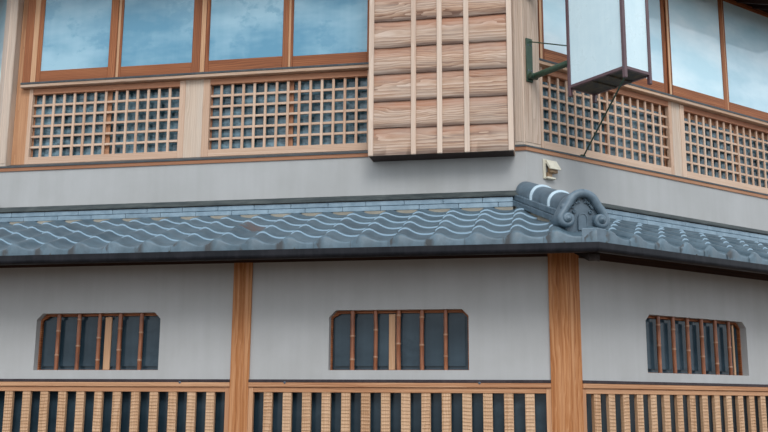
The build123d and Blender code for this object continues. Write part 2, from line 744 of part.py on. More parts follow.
def upper_corner_posts():
    """Boxed corner timbers in front of the frames, scribed to the flashing under them."""
    post = corner_post(
        upper(UPPER_CORNER_PROUD), UPPER_CORNER_FACE, UPPER_CORNER_WING_FACE, UPPER_CORNER_DEPTH,
        BAND_TOP - CAP_DROP, FAR,
    )
    return both((post & under_main(0)) - band_cap(FRONT) - band_cap(RIGHT))


def upper_post(side, start, end):
    depth = setback(side)
    return on_face(side, block(start, end, depth, depth + UPPER_POST_DEPTH, BAND_TOP, WINDOW_HEAD))


def upper_wall_posts():
    front = [
        upper_post(FRONT, -UPPER_FRONT_END, UPPER_FRONT_START),
        upper_post(FRONT, UPPER_FRONT_BAYS[0][1], UPPER_FRONT_BAYS[1][0]),
    ]
    wing = [
        upper_post(RIGHT, UPPER_WING_JAMB, UPPER_WING_START),
        upper_post(RIGHT, UPPER_WING_BAYS[0][1], UPPER_WING_BAYS[1][0]),
        upper_post(RIGHT, UPPER_WING_BAYS[1][1], UPPER_WING_END),
    ]
    return joined([*front, *wing, *(mirrored(post) for post in wing)])


def box_wall():
    """Plain wall behind the shutter box."""
    back = FRONT_SETBACK + UPPER_POST_DEPTH
    start = UPPER_FRONT_BAYS[1][1]
    return on_face(FRONT, block(start, UPPER_FRONT_END, FRONT_SETBACK, back, BAND_TOP, WINDOW_HEAD))


def fine_lattice(side, bay):
    """Square-celled lattice between two posts, its level bars lapped behind the upright ones."""
    start, end = bay
    columns = round((end - start - 2 * FINE_FRAME + FINE_BAR) / FINE_PITCH)
    face = setback(side) + FINE_RECESS
    lap = FINE_DEPTH / 2

    def layer(y, columns, rows):
        return grid_panel(
            start, end, y, BAND_TOP, SILL_TOP - SILL_HEIGHT, lap, columns, rows, FINE_BAR, FINE_FRAME,
            foot=LATTICE_BOTTOM_RAIL, top=LATTICE_TOP_RAIL,
        )

    return on_face(side, layer(face, columns, 1) + layer(face + lap, 1, FINE_ROWS))


def upper_sill(side):
    """Weathered sill over the lattices, unbroken in front of the posts."""
    face, low = setback(side), SILL_TOP - SILL_HEIGHT
    sill = block(*SILL_SPANS[side], face - SILL_PROUD, face, low, SILL_TOP)
    for bay in UPPER_BAYS[side]:
        sill += block(*bay, face, face + UPPER_POST_DEPTH, low, SILL_TOP)
    return on_face(side, sill)


def sash_row(side):
    """One row of glazed sashes on the sill."""
    panel = grid_panel(
        *SASH_SPANS[side], setback(side) - SASH_PROUD, SILL_TOP, WINDOW_HEAD, SASH_DEPTH, SASHES, 1,
        MEETING_STILE, SASH_FRAME, foot=SASH_FOOT,
    )
    return on_face(side, panel)


def upper_panes(side):
    """Glass behind the row of sashes, and behind the lattices below it."""
    y = setback(side) - SASH_PROUD + SASH_DEPTH
    sheets = [block(*SASH_SPANS[side], y, y + GLASS, SILL_TOP, WINDOW_HEAD)]
    y = setback(side) + LATTICE_GLASS_RECESS
    sheets += [block(*bay, y, y + GLASS, BAND_TOP, SILL_TOP - SILL_HEIGHT) for bay in UPPER_BAYS[side]]
    return on_face(side, joined(sheets))


def on_three_sides(make):
    """The same piece on the front and on both wings."""
    wing = make(RIGHT)
    return joined([make(FRONT), wing, mirrored(wing)])


def head_beams():
    """Beams and plaster over the upper windows, up to the roof, between the corner posts."""

    def beam(side, start, end):
        face = setback(side)
        upright = block(start, end, face, face + UPPER_POST_DEPTH, WINDOW_HEAD, FAR)
        return on_face(side, upright) & under_main(0)

    front = beam(FRONT, -UPPER_FRONT_END, UPPER_FRONT_END)
    wing = beam(RIGHT, UPPER_WING_JAMB, UPPER_WING_END)
    return joined([front, wing, mirrored(wing)])


def ceiling():
    inside = upper(-UPPER_POST_DEPTH, -PARTY_WALL)
    return storey(inside, WINDOW_HEAD, WINDOW_HEAD + CEILING) - upper_corner_posts()


def shutter_box():
    """Boarded case for the sliding rain shutters, with battens on its face."""
    x0, x1 = BOX_SPAN
    y0, back = FRONT_SETBACK - BOX_PROUD, FRONT_SETBACK
    board = BOX_BOARD
    case = block(x0, x1, y0, back, BOX_UNDERSIDE, WINDOW_HEAD)
    case -= block(x0 + board, x1 - board, y0 + board, back, BOX_UNDERSIDE + board, WINDOW_HEAD - board)
    inner_start = (x0 + x1 - BATTEN_WIDTH - (INNER_BATTENS - 1) * BATTEN_SPACING) / 2
    starts = [inner_start + i * BATTEN_SPACING for i in range(INNER_BATTENS)]
    for start in (x0, *starts, x1 - BATTEN_WIDTH):
        case += block(start, start + BATTEN_WIDTH, y0 - BATTEN_DEPTH, y0, BOX_UNDERSIDE, WINDOW_HEAD)
    return on_face(FRONT, case) - band_cap(FRONT) - upper_wall(FRONT)


def sign_spot():
    """Extents of the sign along the right face and out from it."""
    s0, s1 = SIGN_FROM_ARRIS, SIGN_FROM_ARRIS + SIGN_NARROW
    y1 = WING_SETBACK - SIGN_OFF_FRAMES
    return s0, s1, y1 - SIGN_WIDE, y1


def sign_frame():
    """Four tube legs with rings of tube at the top and bottom."""
    s0, s1, y0, y1 = sign_spot()
    top = SIGN_BOTTOM + SIGN_HEIGHT
    frame = block(s0, s1, y0, y1, SIGN_BOTTOM, top)
    t = SIGN_TUBE
    frame -= block(s0 + t, s1 - t, y0, y1, SIGN_BOTTOM + t, top - t)
    frame -= block(s0, s1, y0 + t, y1 - t, SIGN_BOTTOM + t, top - t)
    frame -= block(s0 + t, s1 - t, y0 + t, y1 - t, SIGN_BOTTOM, top)
    for s in (s0, s1 - t):
        for y in (y0, y1 - t):
            frame += block(s, s + t, y, y + t, SIGN_BOTTOM - SIGN_LEG, SIGN_BOTTOM)
    return on_face(RIGHT, frame)


def sign_lantern():
    """Blank lantern body inside the frame."""
    s0, s1, y0, y1 = sign_spot()
    inset = SIGN_PANEL_INSET
    body = block(s0 + inset, s1 - inset, y0 + inset, y1 - inset, SIGN_BOTTOM, SIGN_BOTTOM + SIGN_HEIGHT)
    return on_face(RIGHT, body) - sign_frame()


def sign_stay():
    """Thin rod from the plaster band up to the sign's far outer leg."""
    _, s1, y0, _ = sign_spot()
    face = WING_SETBACK - BAND_PROUD
    leg = (s1 - SIGN_TUBE / 2, y0 + SIGN_TUBE / 2, SIGN_BOTTOM - SIGN_LEG / 2)
    foot = (STAY_FOOT, face, BAND_TOP - STAY_DROP)
    reach_back = Vector(*foot) - Vector(*leg)
    stay = rod(leg, tuple(Vector(*foot) + reach_back.normalized() * BAND_THICKNESS), STAY_RADIUS)
    outside = block(0, WING_LENGTH, -FAR, face, 0, FAR)
    return on_face(RIGHT, stay & outside) - sign_frame() - band_cap(RIGHT)


def lamp_box():
    x0, face = LAMP_BOX_FROM_ARRIS, WING_SETBACK - BAND_PROUD
    x1, z0 = x0 + LAMP_BOX_WIDTH, LAMP_BOX_TOP - LAMP_BOX_HEIGHT
    return on_face(RIGHT, block(x0, x1, face - LAMP_BOX_DEPTH, face, z0, LAMP_BOX_TOP))


def sign_bracket():
    """Two plates on the corner post, each with an arm that reaches the sign's inner leg."""
    s0, _, _, y1 = sign_spot()
    middle = s0 + SIGN_TUBE / 2
    face = WING_SETBACK - UPPER_CORNER_PROUD
    arms = []
    for z in (ARM_LOW, ARM_HIGH):
        foot = z - PLATE_BELOW_ARM
        plate = block(
            middle - PLATE_WIDTH / 2, middle + PLATE_WIDTH / 2, face - PLATE_THICKNESS, face,
            foot, foot + PLATE_HEIGHT,
        )
        arms.append(plate + rod((middle, y1, z), (middle, face - PLATE_THICKNESS / 2, z), ARM_RADIUS))
    return joined(on_face(RIGHT, arm) for arm in arms)


def roof_point(sides, rise):
    """Where the main roof's slopes meet: three slopes give a peak and two give an eave corner."""
    rows, values = [], []
    for side in sides:
        rows.append([*normal(side), 1.0])
        values.append(reach(side) + MAIN_EDGES[side])
    if len(sides) == 2:
        rows.append([0.0, 0.0, 1.0])
        values.append(0.0)
    x, y, inward = (float(v) for v in solve(rows, values))
    return x, y, MAIN_EAVE_UNDERSIDE + rise + MAIN_PITCH * inward


def main_runs(rise):
    """Hips and ridges of the right half of the main roof, and the one hip in its middle."""
    shoulder = roof_point((FRONT, RIGHT, REAR_RIGHT), rise)
    peak = roof_point((FRONT, REAR_RIGHT, REAR_LEFT), rise)
    half = [
        (roof_point((FRONT, RIGHT), rise), shoulder),
        (roof_point((RIGHT, REAR_RIGHT), rise), shoulder),
        (shoulder, peak),
    ]
    return half, (roof_point((REAR_RIGHT, REAR_LEFT), rise), peak)


def run_slab(run, width):
    """Upright slab over one hip or ridge."""
    foot, head = (Vector(x, y) for x, y, _ in run)
    span = head - foot
    return Plane(origin=foot, x_dir=span, z_dir=(0, 0, 1)) * block(
        -width / 2, span.length + width / 2, -width / 2, width / 2, 0, FAR
    )


def main_slabs(width):
    """Slabs over all the hips and ridges of the main roof."""
    half, middle = main_runs(0)
    slabs = [run_slab(run, width) for run in half]
    return [*slabs, *(mirrored(slab) for slab in slabs), run_slab(middle, width)]


def main_layer(low, high):
    return under_main(high) - under_main(low, HIP_CAP_RADIUS)


def main_roof_deck():
    return main_layer(0, MAIN_DECK)


def main_tiles():
    layer = main_layer(MAIN_DECK, MAIN_DECK + TILE)
    for slab in main_slabs(HIP_BED_WIDTH):
        layer -= slab
    return joined([layer])


def main_ridges():
    """Bedded courses and round caps over the hips and ridges, in one network."""
    bed = main_layer(MAIN_DECK, MAIN_DECK + TILE)
    courses = main_layer(MAIN_DECK + TILE, MAIN_DECK + TILE + MAIN_RIDGE_HEIGHT)
    beds = Part() + [bed & slab for slab in main_slabs(HIP_BED_WIDTH)]
    tops = Part() + [courses & slab for slab in main_slabs(MAIN_RIDGE_WIDTH)]
    half, middle = main_runs(MAIN_DECK + TILE + MAIN_RIDGE_HEIGHT)
    caps = [rod(*run, MAIN_CAP_RADIUS) for run in half]
    caps += [*(mirrored(cap) for cap in caps), rod(*middle, MAIN_CAP_RADIUS)]
    inside = storey(MAIN_EDGES, 0, FAR)
    return (beds + tops + caps) & inside


def nodes():
    """Every sub-part, by name."""
    lattice_front = [waist_lattice(bay) for bay in FRONT_BAYS.values()]
    lattice_wing = [on_face(RIGHT, waist_lattice(bay)) for bay in (WING_BAY, END_BAY)]
    fine_front = joined(fine_lattice(FRONT, bay) for bay in UPPER_FRONT_BAYS)
    fine_right = joined(fine_lattice(RIGHT, bay) for bay in UPPER_WING_BAYS)
    party_right = party_wall()
    return {
        "foundation": foundation(),
        "ground_floor": ground_floor(),
        "ground_sills": ground_sills(),
        "party_wall_right": party_right,
        "party_wall_left": mirrored(party_right),
        "lower_corner_posts": lower_corner_posts(),
        "lower_wall_posts": lower_wall_posts(),
        "front_wall": front_walls(),
        "right_wall": right_walls(),
        "left_wall": left_walls(),
        "waist_rails": waist_rails(),
        "waist_lattice_front": joined(on_face(FRONT, panel) for panel in lattice_front),
        "waist_lattice_right": lattice_wing[0],
        "waist_lattice_left": joined(mirrored(panel) for panel in lattice_wing),
        "lower_glass": lower_glass(),
        "window_sashes": windows_with(window_sash),
        "bamboo_bars": windows_with(window_bars),
        "entrance_doors": entrance_doors(),
        "wall_plates": wall_plates(),
        "hip_rafters": hip_rafters(),
        "eave_rafters": eave_rafters(),
        "pent_decks": pent_decks(),
        "pent_tiles": pent_tiles(),
        "wall_courses": wall_courses(),
        "hip_ridges": both(hip_ridge()),
        "ridge_end_tiles": both(ridge_end()),
        "gutter_front": gutter(FRONT),
        "gutter_right": gutter(RIGHT),
        "gutter_left": gutter(LEFT),
        "upper_floor": upper_floor(),
        "upper_wall_front": upper_wall(FRONT),
        "upper_wall_right": upper_wall(RIGHT),
        "upper_wall_left": upper_wall(LEFT),
        "band_caps": band_cap(LEFT) + band_cap(FRONT) + band_cap(RIGHT),
        "upper_corner_posts": upper_corner_posts(),
        "upper_wall_posts": upper_wall_posts(),
        "shutter_box_wall": box_wall(),
        "fine_lattice_front": fine_front,
        "fine_lattice_right": fine_right,
        "fine_lattice_left": mirrored(fine_right),
        "upper_sills": on_three_sides(upper_sill),
        "upper_sashes": on_three_sides(sash_row),
        "upper_glass": on_three_sides(upper_panes),
        "head_beams": head_beams(),
        "ceiling": ceiling(),
        "shutter_box": shutter_box(),
        "sign_frame": sign_frame(),
        "sign_lantern": sign_lantern(),
        "sign_bracket": sign_bracket(),
        "sign_stay": sign_stay(),
        "lamp_box": lamp_box(),
        "main_roof_deck": main_roof_deck(),
        "main_roof_tiles": main_tiles(),
        "main_roof_ridges": main_ridges(),
    }


# The footprint's box reaches from the front gutter to the rear corner
FRONT_REACH = PENT_OVERHANG + 2 * GUTTER_RADIUS
REAR_REACH = meet(REAR_RIGHT, REAR_LEFT, level(0))[1]
TO_ORIGIN = Pos(0, (FRONT_REACH - REAR_REACH) / 2, 0)

os.makedirs("parts", exist_ok=True)
for name, shape in nodes().items():
    export_step(TO_ORIGIN * shape, f"parts/{name}.step")
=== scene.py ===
"""Machiya townhouse on a cut-off street corner, dressed for rendering.

Metres, +Z up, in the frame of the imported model. A place on a wall is (s, d, z): s along the face from its
arris (from the middle on the front), d into the house from the lower face, and z above the ground.
A place on a roof is (u, v, h): u to the right along the eave, v level distance in from the eave, and h
above the deck. A place on a ridge is (w, s, h): w to its right, s up along it from its foot, and h above
the deck.
"""
import random
from math import ceil, cos, pi, radians, sin, sqrt, tan

import bmesh
import bpy
from mathutils import Matrix, Vector, noise


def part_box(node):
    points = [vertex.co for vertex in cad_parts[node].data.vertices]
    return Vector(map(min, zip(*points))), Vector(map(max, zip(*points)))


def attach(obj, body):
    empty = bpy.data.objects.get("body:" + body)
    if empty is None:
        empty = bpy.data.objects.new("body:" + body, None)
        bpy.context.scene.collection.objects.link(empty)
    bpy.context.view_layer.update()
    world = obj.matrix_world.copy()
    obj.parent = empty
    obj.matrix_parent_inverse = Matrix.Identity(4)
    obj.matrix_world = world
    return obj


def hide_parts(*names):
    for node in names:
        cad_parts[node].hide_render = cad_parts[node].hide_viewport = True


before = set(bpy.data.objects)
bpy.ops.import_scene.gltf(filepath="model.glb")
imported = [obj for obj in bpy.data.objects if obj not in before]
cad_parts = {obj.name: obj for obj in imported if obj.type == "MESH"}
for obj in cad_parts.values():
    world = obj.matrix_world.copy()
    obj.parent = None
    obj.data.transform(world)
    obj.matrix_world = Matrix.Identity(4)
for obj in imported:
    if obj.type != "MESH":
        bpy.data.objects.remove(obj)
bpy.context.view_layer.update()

rng = random.Random(7)

# Plan and levels of the house, as in the solids
HALF_FRONT = 3.01
WING_LENGTH = 5.07
PARTY_WALL = 0.15
WING_END = WING_LENGTH - PARTY_WALL
FRONT_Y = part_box("foundation")[0][1]
SETBACK = 0.91
BAND_FACE = 0.79
CORNER_FACE = 0.145
FRONT_POST = (0.1975, 0.3625)
WING_POST = (3.2075, 3.3725)
END_POST = 4.755
FRAME_BACK = 0.128  # depth that the lower storey's sills, rails and sashes reach
FOUNDATION_TOP, GROUND_SILL_TOP, RAIL_TOP, DOOR_HEAD = 0.20, 0.30, 1.70, 2.05
BAND_TOP, SILL_TOP, WINDOW_HEAD = 3.89, 4.755, 5.90
SASH_HEAD, BOX_HEAD = 6.165, 6.045
FRONT_WINDOWS = {-1.046: 1.17, 1.63: 1.17}
WING_WINDOW, WING_WINDOW_WIDTH = 1.648, 1.40
WINDOW_SILL, WINDOW_HEIGHT, WINDOW_CHAMFER = 1.777, 0.496, 0.055
MEETING_STILES = {-1.046: (0.036, 0.098), 1.63: (-0.088, -0.033)}
UPPER_FRONT_END = 2.585
WING_JAMB = 0.55
TURN = tan(pi / 8)  # how far a mitred corner moves along a wall for each metre of depth


# Places
class Side:
    """One side of the five-sided plan, seen from outside."""

    def __init__(self, angle, reach):
        self.out = Vector((cos(radians(angle)), sin(radians(angle)), 0))
        self.right = Vector((-self.out.y, self.out.x, 0))
        self.foot = Vector((0, FRONT_Y, 0)) + self.out * reach

    def at(self, u, off, z):
        return self.foot + self.right * u + self.out * off + Vector((0, 0, z))


SIDES = {
    "front": Side(-90, 0),
    "right": Side(-45, HALF_FRONT * sin(pi / 4)),
    "rear_right": Side(45, HALF_FRONT * cos(pi / 4) + WING_LENGTH),
    "rear_left": Side(135, HALF_FRONT * cos(pi / 4) + WING_LENGTH),
    "left": Side(-135, HALF_FRONT * sin(pi / 4)),
}
STREET = ("front", "right", "left")
REAR = ("rear_right", "rear_left")
PENT_EDGE = {side: 0.52 for side in STREET}
MAIN_EDGE = {**{side: -0.31 for side in STREET}, **{side: 0.0 for side in REAR}}


def wall(side):
    """Places on one street wall; the left wall mirrors the right one."""
    def at(s, d, z):
        if side == "front":
            return Vector((s, FRONT_Y + d, z))
        c = sqrt(0.5)
        x, y = HALF_FRONT + c * s - c * d, FRONT_Y + c * s + c * d
        return Vector((x if side == "right" else -x, y, z))
    return at


WALLS = {side: wall(side) for side in STREET}


def ends(side, d, end=WING_END):
    """Where a run at one depth starts and ends, mitred at the street corners."""
    if side == "front":
        return TURN * d - HALF_FRONT, HALF_FRONT - TURN * d
    return TURN * d, end


def eave_point(edges, rise, pitch, *sides):
    """Where three slopes of a roof meet, or two of them at their eave corner."""
    rows = [(SIDES[side].out.x, SIDES[side].out.y, 1.0) for side in sides]
    values = [SIDES[side].out.dot(SIDES[side].foot) + edges[side] for side in sides]
    if len(sides) == 2:
        rows.append((0.0, 0.0, 1.0))
        values.append(0.0)
    x, y, inward = Matrix(rows).inverted() @ Vector(values)
    return Vector((x, y, rise + pitch * inward))


# Meshes
PIECES = []


class Piece:
    """Faces gathered for one object, with grain coordinates and a tint for each point."""

    def __init__(self, name="", material="", slot="", node=None, smooth=None):
        self.name, self.material, self.slot, self.node, self.smooth = name, material, slot, node, smooth
        self.points, self.faces, self.grain, self.tint = [], [], [], []
        if name:
            PIECES.append(self)

    def add(self, points, faces, grain=None, tint=None):
        """Adds faces over points; the tint is random, one number for all points, or a list of them."""
        base = len(self.points)
        tint = rng.random() if tint is None else tint
        self.points += points
        self.faces += [[base + i for i in face] for face in faces]
        self.grain += points if grain is None else grain
        self.tint += [tint] * len(points) if isinstance(tint, float) else tint

    def box(self, at, low, high, bevel=0.003, along=None, tint=None):
        """Chamfered block between two places, with its grain along one of the three directions."""
        low, high = [list(map(float, p)) for p in zip(*[sorted(p) for p in zip(low, high)])]
        size = [h - l for l, h in zip(low, high)]
        along = size.index(max(size)) if along is None else along
        bevel = min(bevel, 0.3 * min(size))
        shift = Vector((rng.uniform(0, 40), rng.uniform(-0.12, 0.12), rng.uniform(0.03, 0.14)))
        order = [along] + [i for i in range(3) if i != along]
        points, grain, index = [], [], {}
        for corner in range(8):
            bits = [corner >> i & 1 for i in range(3)]
            for axis in range(3):
                p = [(high if bits[i] else low)[i] for i in range(3)]
                for i in range(3):
                    if i != axis:
                        p[i] += -bevel if bits[i] else bevel
                index[corner, axis] = len(points)
                points.append(at(*p))
                grain.append(shift + Vector([p[i] - low[i] for i in order]))
        faces = []
        for axis in range(3):
            b, c = [1 << i for i in range(3) if i != axis]
            for side in (0, 1 << axis):
                faces.append([index[side + k, axis] for k in (0, b, b + c, c)])
            one, other = [i for i in range(3) if i != axis]
            for k in (0, b, c, b + c):
                far = k + (1 << axis)
                faces.append([index[k, one], index[far, one], index[far, other], index[k, other]])
        faces += [[index[corner, axis] for axis in range(3)] for corner in range(8)]
        self.add(points, faces, grain, tint)

    def grid(self, rows, grain=None, tint=None, wrap=False, caps=False):
        """Quads through rows of points; wrap joins each row's ends, caps close the first and last row."""
        n = len(rows[0])
        points = [p for row in rows for p in row]
        faces = []
        for r in range(len(rows) - 1):
            for c in range(n if wrap else n - 1):
                d = (c + 1) % n
                faces.append([r * n + c, r * n + d, (r + 1) * n + d, (r + 1) * n + c])
        if caps:
            faces.append(list(range(n)))
            faces.append([(len(rows) - 1) * n + c for c in range(n)])
        flat = None if grain is None else [g for row in grain for g in row]
        self.add(points, faces, flat, tint)

    def cut(self, planes):
        """Removes what lies on the normal's side of each (point, normal) plane."""
        work = bmesh.new()
        grain = work.verts.layers.float_vector.new("grain")
        tint = work.verts.layers.float.new("tint")
        made = []
        for p, g, t in zip(self.points, self.grain, self.tint):
            v = work.verts.new(p)
            v[grain], v[tint] = g, t
            made.append(v)
        for face in self.faces:
            work.faces.new([made[i] for i in face])
        for point, normal in planes:
            geometry = work.verts[:] + work.edges[:] + work.faces[:]
            bmesh.ops.bisect_plane(work, geom=geometry, plane_co=point, plane_no=normal, clear_outer=True)
        work.verts.index_update()
        self.points = [v.co.copy() for v in work.verts]
        self.grain = [v[grain].copy() for v in work.verts]
        self.tint = [v[tint] for v in work.verts]
        self.faces = [[v.index for v in f.verts] for f in work.faces]
        work.free()

    def merge(self, other):
        """Takes over the faces of another piece."""
        base = len(self.points)
        self.points += other.points
        self.grain += other.grain
        self.tint += other.tint
        self.faces += [[base + i for i in face] for face in other.faces]

    def finish(self):
        """Makes the object, riding on the house, in place of its node of the solids."""
        mesh = bpy.data.meshes.new(self.name)
        mesh.from_pydata([tuple(p) for p in self.points], [], self.faces)
        grain = mesh.attributes.new("grain", "FLOAT_VECTOR", "POINT")
        grain.data.foreach_set("vector", [c for g in self.grain for c in g])
        tint = mesh.attributes.new("tint", "FLOAT", "POINT")
        tint.data.foreach_set("value", self.tint)
        work = bmesh.new()
        work.from_mesh(mesh)
        bmesh.ops.recalc_face_normals(work, faces=work.faces)
        work.to_mesh(mesh)
        work.free()
        if self.smooth is not None:
            mesh.polygons.foreach_set("use_smooth", [True] * len(mesh.polygons))
            mesh.set_sharp_from_angle(angle=radians(self.smooth))
        mesh.materials.append(MATERIALS[self.material])
        piece = bpy.data.objects.new(self.name, mesh)
        bpy.context.scene.collection.objects.link(piece)
        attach(piece, "root")
        if self.node:
            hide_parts(self.node)


def tube(piece, path, radius, sides=12, tint=None):
    """Round bar along a path of points; radius and tint may each be one number or one for each point."""
    path = [Vector(p) for p in path]
    radii = radius if isinstance(radius, list) else [radius] * len(path)
    rows, grain = [], []
    length = 0.0
    shift = Vector((rng.uniform(0, 40), 0, 0.02))
    normal = None
    for i, p in enumerate(path):
        ahead = (path[min(i + 1, len(path) - 1)] - path[max(i - 1, 0)]).normalized()
        if normal is None:
            normal = ahead.orthogonal().normalized()
        normal = (normal - ahead * normal.dot(ahead)).normalized()
        binormal = ahead.cross(normal)
        if i:
            length += (p - path[i - 1]).length
        turns = [2 * pi * k / sides for k in range(sides)]
        rows.append([p + (normal * cos(a) + binormal * sin(a)) * radii[i] for a in turns])
        grain.append([shift + Vector((length, radii[i] * cos(a), radii[i] * sin(a))) for a in turns])
    if isinstance(tint, list):
        tint = [t for t in tint for _ in range(sides)]
    piece.grid(rows, grain, tint, wrap=True, caps=True)


def moulding(piece, side, profile, tint=None, end=WING_END):
    """Sweeps a closed (d, z) profile along one wall, mitred at the street corners."""
    shift = rng.uniform(0, 40)
    rows, grain = [], []
    for last in (0, 1):
        run = [(ends(side, d, end)[last], d, z) for d, z in profile]
        rows.append([WALLS[side](*p) for p in run])
        grain.append([Vector((shift + s, z, d)) for s, d, z in run])
    piece.grid(rows, grain, tint, wrap=True, caps=True)


def frame_panel(piece, at, span, depth, low, high, stile, foot, top, bevel=0.003):
    """Two stiles with a bottom and a top rail between them; the stiles may differ."""
    (x0, x1), (d0, d1) = span, depth
    left, right = stile if isinstance(stile, tuple) else (stile, stile)
    for a, b in ((x0, x0 + left), (x1 - right, x1)):
        piece.box(at, (a, d0, low), (b, d1, high), bevel, 2)
    for a, b in ((low, low + foot), (high - top, high)):
        if b > a:
            piece.box(at, (x0 + left, d0 + 0.001, a), (x1 - right, d1, b), bevel, 0)


# Materials
MATERIALS = {}


class Surface:
    """A material's nodes, built up in short calls."""

    def __init__(self, name, **shader):
        self.material = bpy.data.materials.new(name)
        self.material.use_nodes = True
        MATERIALS[name] = self.material
        self.tree = self.material.node_tree
        self.shader = self.tree.nodes["Principled BSDF"]
        for key, value in shader.items():
            self.shader.inputs[key.replace("_", " ")].default_value = value

    def node(self, kind, inputs=(), **settings):
        made = self.tree.nodes.new("ShaderNode" + kind)
        for key, value in settings.items():
            setattr(made, key, value)
        for key, value in dict(inputs).items():
            if isinstance(value, bpy.types.NodeSocket):
                self.tree.links.new(value, made.inputs[key])
            else:
                made.inputs[key].default_value = value
        return made

    def attribute(self, name):
        node = self.node("Attribute", attribute_name=name)
        return node.outputs["Vector" if name == "grain" else "Fac"]

    def position(self):
        return self.node("TexCoord").outputs["Object"]

    def stretch(self, vector, x, y, z):
        return self.node("VectorMath", {0: vector, 1: (x, y, z)}, operation="MULTIPLY").outputs[0]

    def noise(self, vector, scale=1.0, detail=3.0, roughness=0.55):
        inputs = {"Vector": vector, "Scale": scale, "Detail": detail, "Roughness": roughness}
        return self.node("TexNoise", inputs).outputs["Fac"]

    def drawn(self, vector, stretch, detail=3.0, roughness=0.55):
        """Noise that is drawn out where the stretch is small, and packed where it is large."""
        return self.noise(self.stretch(vector, *stretch), 1.0, detail, roughness)

    def ramp(self, factor, *stops):
        """Greys or colours between (place, value) stops."""
        made = self.node("ValToRGB", {"Fac": factor})
        elements = made.color_ramp.elements
        while len(elements) < len(stops):
            elements.new(0.5)
        for element, (place, colour) in zip(elements, stops):
            element.position = place
            element.color = (*colour, 1) if isinstance(colour, tuple) else (colour, colour, colour, 1)
        return made.outputs["Color"]

    def math(self, operation, a, b=0.0, c=0.0):
        return self.node("Math", {0: a, 1: b, 2: c}, operation=operation).outputs[0]

    def times(self, a, b):
        return self.math("MULTIPLY", a, b)

    def spread(self, factor, amount):
        """A factor moved to lie around zero, and scaled."""
        return self.math("MULTIPLY_ADD", factor, amount, -0.5 * amount)

    def total(self, *parts):
        result = parts[0]
        for part in parts[1:]:
            result = self.math("ADD", result, part)
        return result

    def mix(self, factor, a, b, blend="MIX"):
        made = self.node("Mix", data_type="RGBA", blend_type=blend)
        for socket, value in ((made.inputs[0], factor), (made.inputs[6], a), (made.inputs[7], b)):
            if isinstance(value, bpy.types.NodeSocket):
                self.tree.links.new(value, socket)
            else:
                socket.default_value = (*value, 1) if isinstance(value, tuple) else value
        return made.outputs[2]

    def colour(self, socket):
        self.tree.links.new(socket, self.shader.inputs["Base Color"])

    def rough(self, socket):
        self.tree.links.new(socket, self.shader.inputs["Roughness"])

    def bump(self, height, strength=0.4, distance=0.002):
        made = self.node("Bump", {"Height": height, "Strength": strength, "Distance": distance})
        self.tree.links.new(made.outputs["Normal"], self.shader.inputs["Normal"])


def grain_vector(surface, coordinates):
    """Coordinates with x along the grain: carried by the piece, or from its place and facing."""
    if coordinates == "carried":
        return surface.attribute("grain")
    place = surface.node("SeparateXYZ", {0: surface.position()})
    facing = surface.node("NewGeometry").outputs["True Normal"]
    level = surface.node("VectorMath", {0: facing, 1: (0, 0, 1)}, operation="CROSS_PRODUCT").outputs[0]
    along = surface.node("VectorMath", {0: surface.position(), 1: level}, operation="DOT_PRODUCT")
    run, up = along.outputs["Value"], place.outputs[2]
    parts = (up, run, 0.05) if coordinates == "upright" else (run, up, 0.05)
    return surface.node("CombineXYZ", dict(enumerate(parts))).outputs[0]


def wood(name, dark, middle, light, coordinates="carried", rings=16.0, contrast=0.6, figure=0.6,
         roughness=0.6, weather=0.0, streak=0.0, board=False, wander=0.06):
    """Timber with growth rings, fibres and a tone that changes from piece to piece."""
    s = Surface(name, Roughness=roughness, Specular_IOR_Level=0.3)
    grain = grain_vector(s, coordinates)
    slow = s.drawn(grain, (1.1, 5.0, 5.0))
    bend = s.spread(slow, wander)
    bent = s.node("VectorMath", {0: grain, 1: s.node("CombineXYZ", {1: bend, 2: bend}).outputs[0]},
                  operation="ADD").outputs[0]
    wave = s.node("TexWave", {"Vector": bent, "Scale": rings, "Distortion": 1.2, "Detail": 2.0,
                              "Detail Scale": 0.6}, wave_type="RINGS", rings_direction="X",
                  wave_profile="SAW").outputs["Fac"]
    fibre = s.drawn(grain, (5.0, 210.0, 210.0), 4.0, 0.7)
    middle_grain = s.drawn(bent, (1.4, 66.0, 66.0), 3.0, 0.6)
    broad = s.drawn(grain, (0.8, 16.0, 16.0), 4.0, 0.6)
    tone = s.total(0.5, s.total(
        s.spread(wave, 0.45 * contrast), s.spread(fibre, 0.5 * contrast),
        s.spread(broad, 1.1 * contrast), s.spread(middle_grain, figure),
    ))
    body = s.ramp(tone, (0.15, dark), (0.5, middle), (0.85, light))
    tint = s.attribute("tint")
    if board:
        edge = s.total(tint, s.spread(broad, 0.5))
        shaded = s.mix(s.ramp(edge, (0.60, 0.0), (1.0, 0.85)), body, (0.40, 0.15, 0.07))
        shaded = s.mix(s.ramp(edge, (0.0, 0.85), (0.20, 0.0)), shaded, (0.12, 0.07, 0.055))
    else:
        varied = s.mix(s.times(tint, 0.45), body, light)
        own = s.times(s.math("FRACT", s.times(tint, 7.3)), 0.35)
        shaded = s.mix(own, varied, middle, "MULTIPLY")
    if weather:
        patch = s.drawn(grain, (1.2, 7.0, 7.0), 4.0, 0.65)
        grey = s.ramp(patch, (0.40, 0.0), (0.62, 1.0))
        shaded = s.mix(s.times(grey, weather), shaded, (0.50, 0.44, 0.38))
    if streak:
        patch = s.drawn(grain, (0.35, 17.0, 17.0), 4.0, 0.7)
        band = s.ramp(patch, (0.54, 0.0), (0.66, 1.0))
        shaded = s.mix(s.times(band, streak), shaded, light)
    s.colour(shaded)
    s.bump(s.total(fibre, s.times(wave, 0.5)), 0.35, 0.0015)


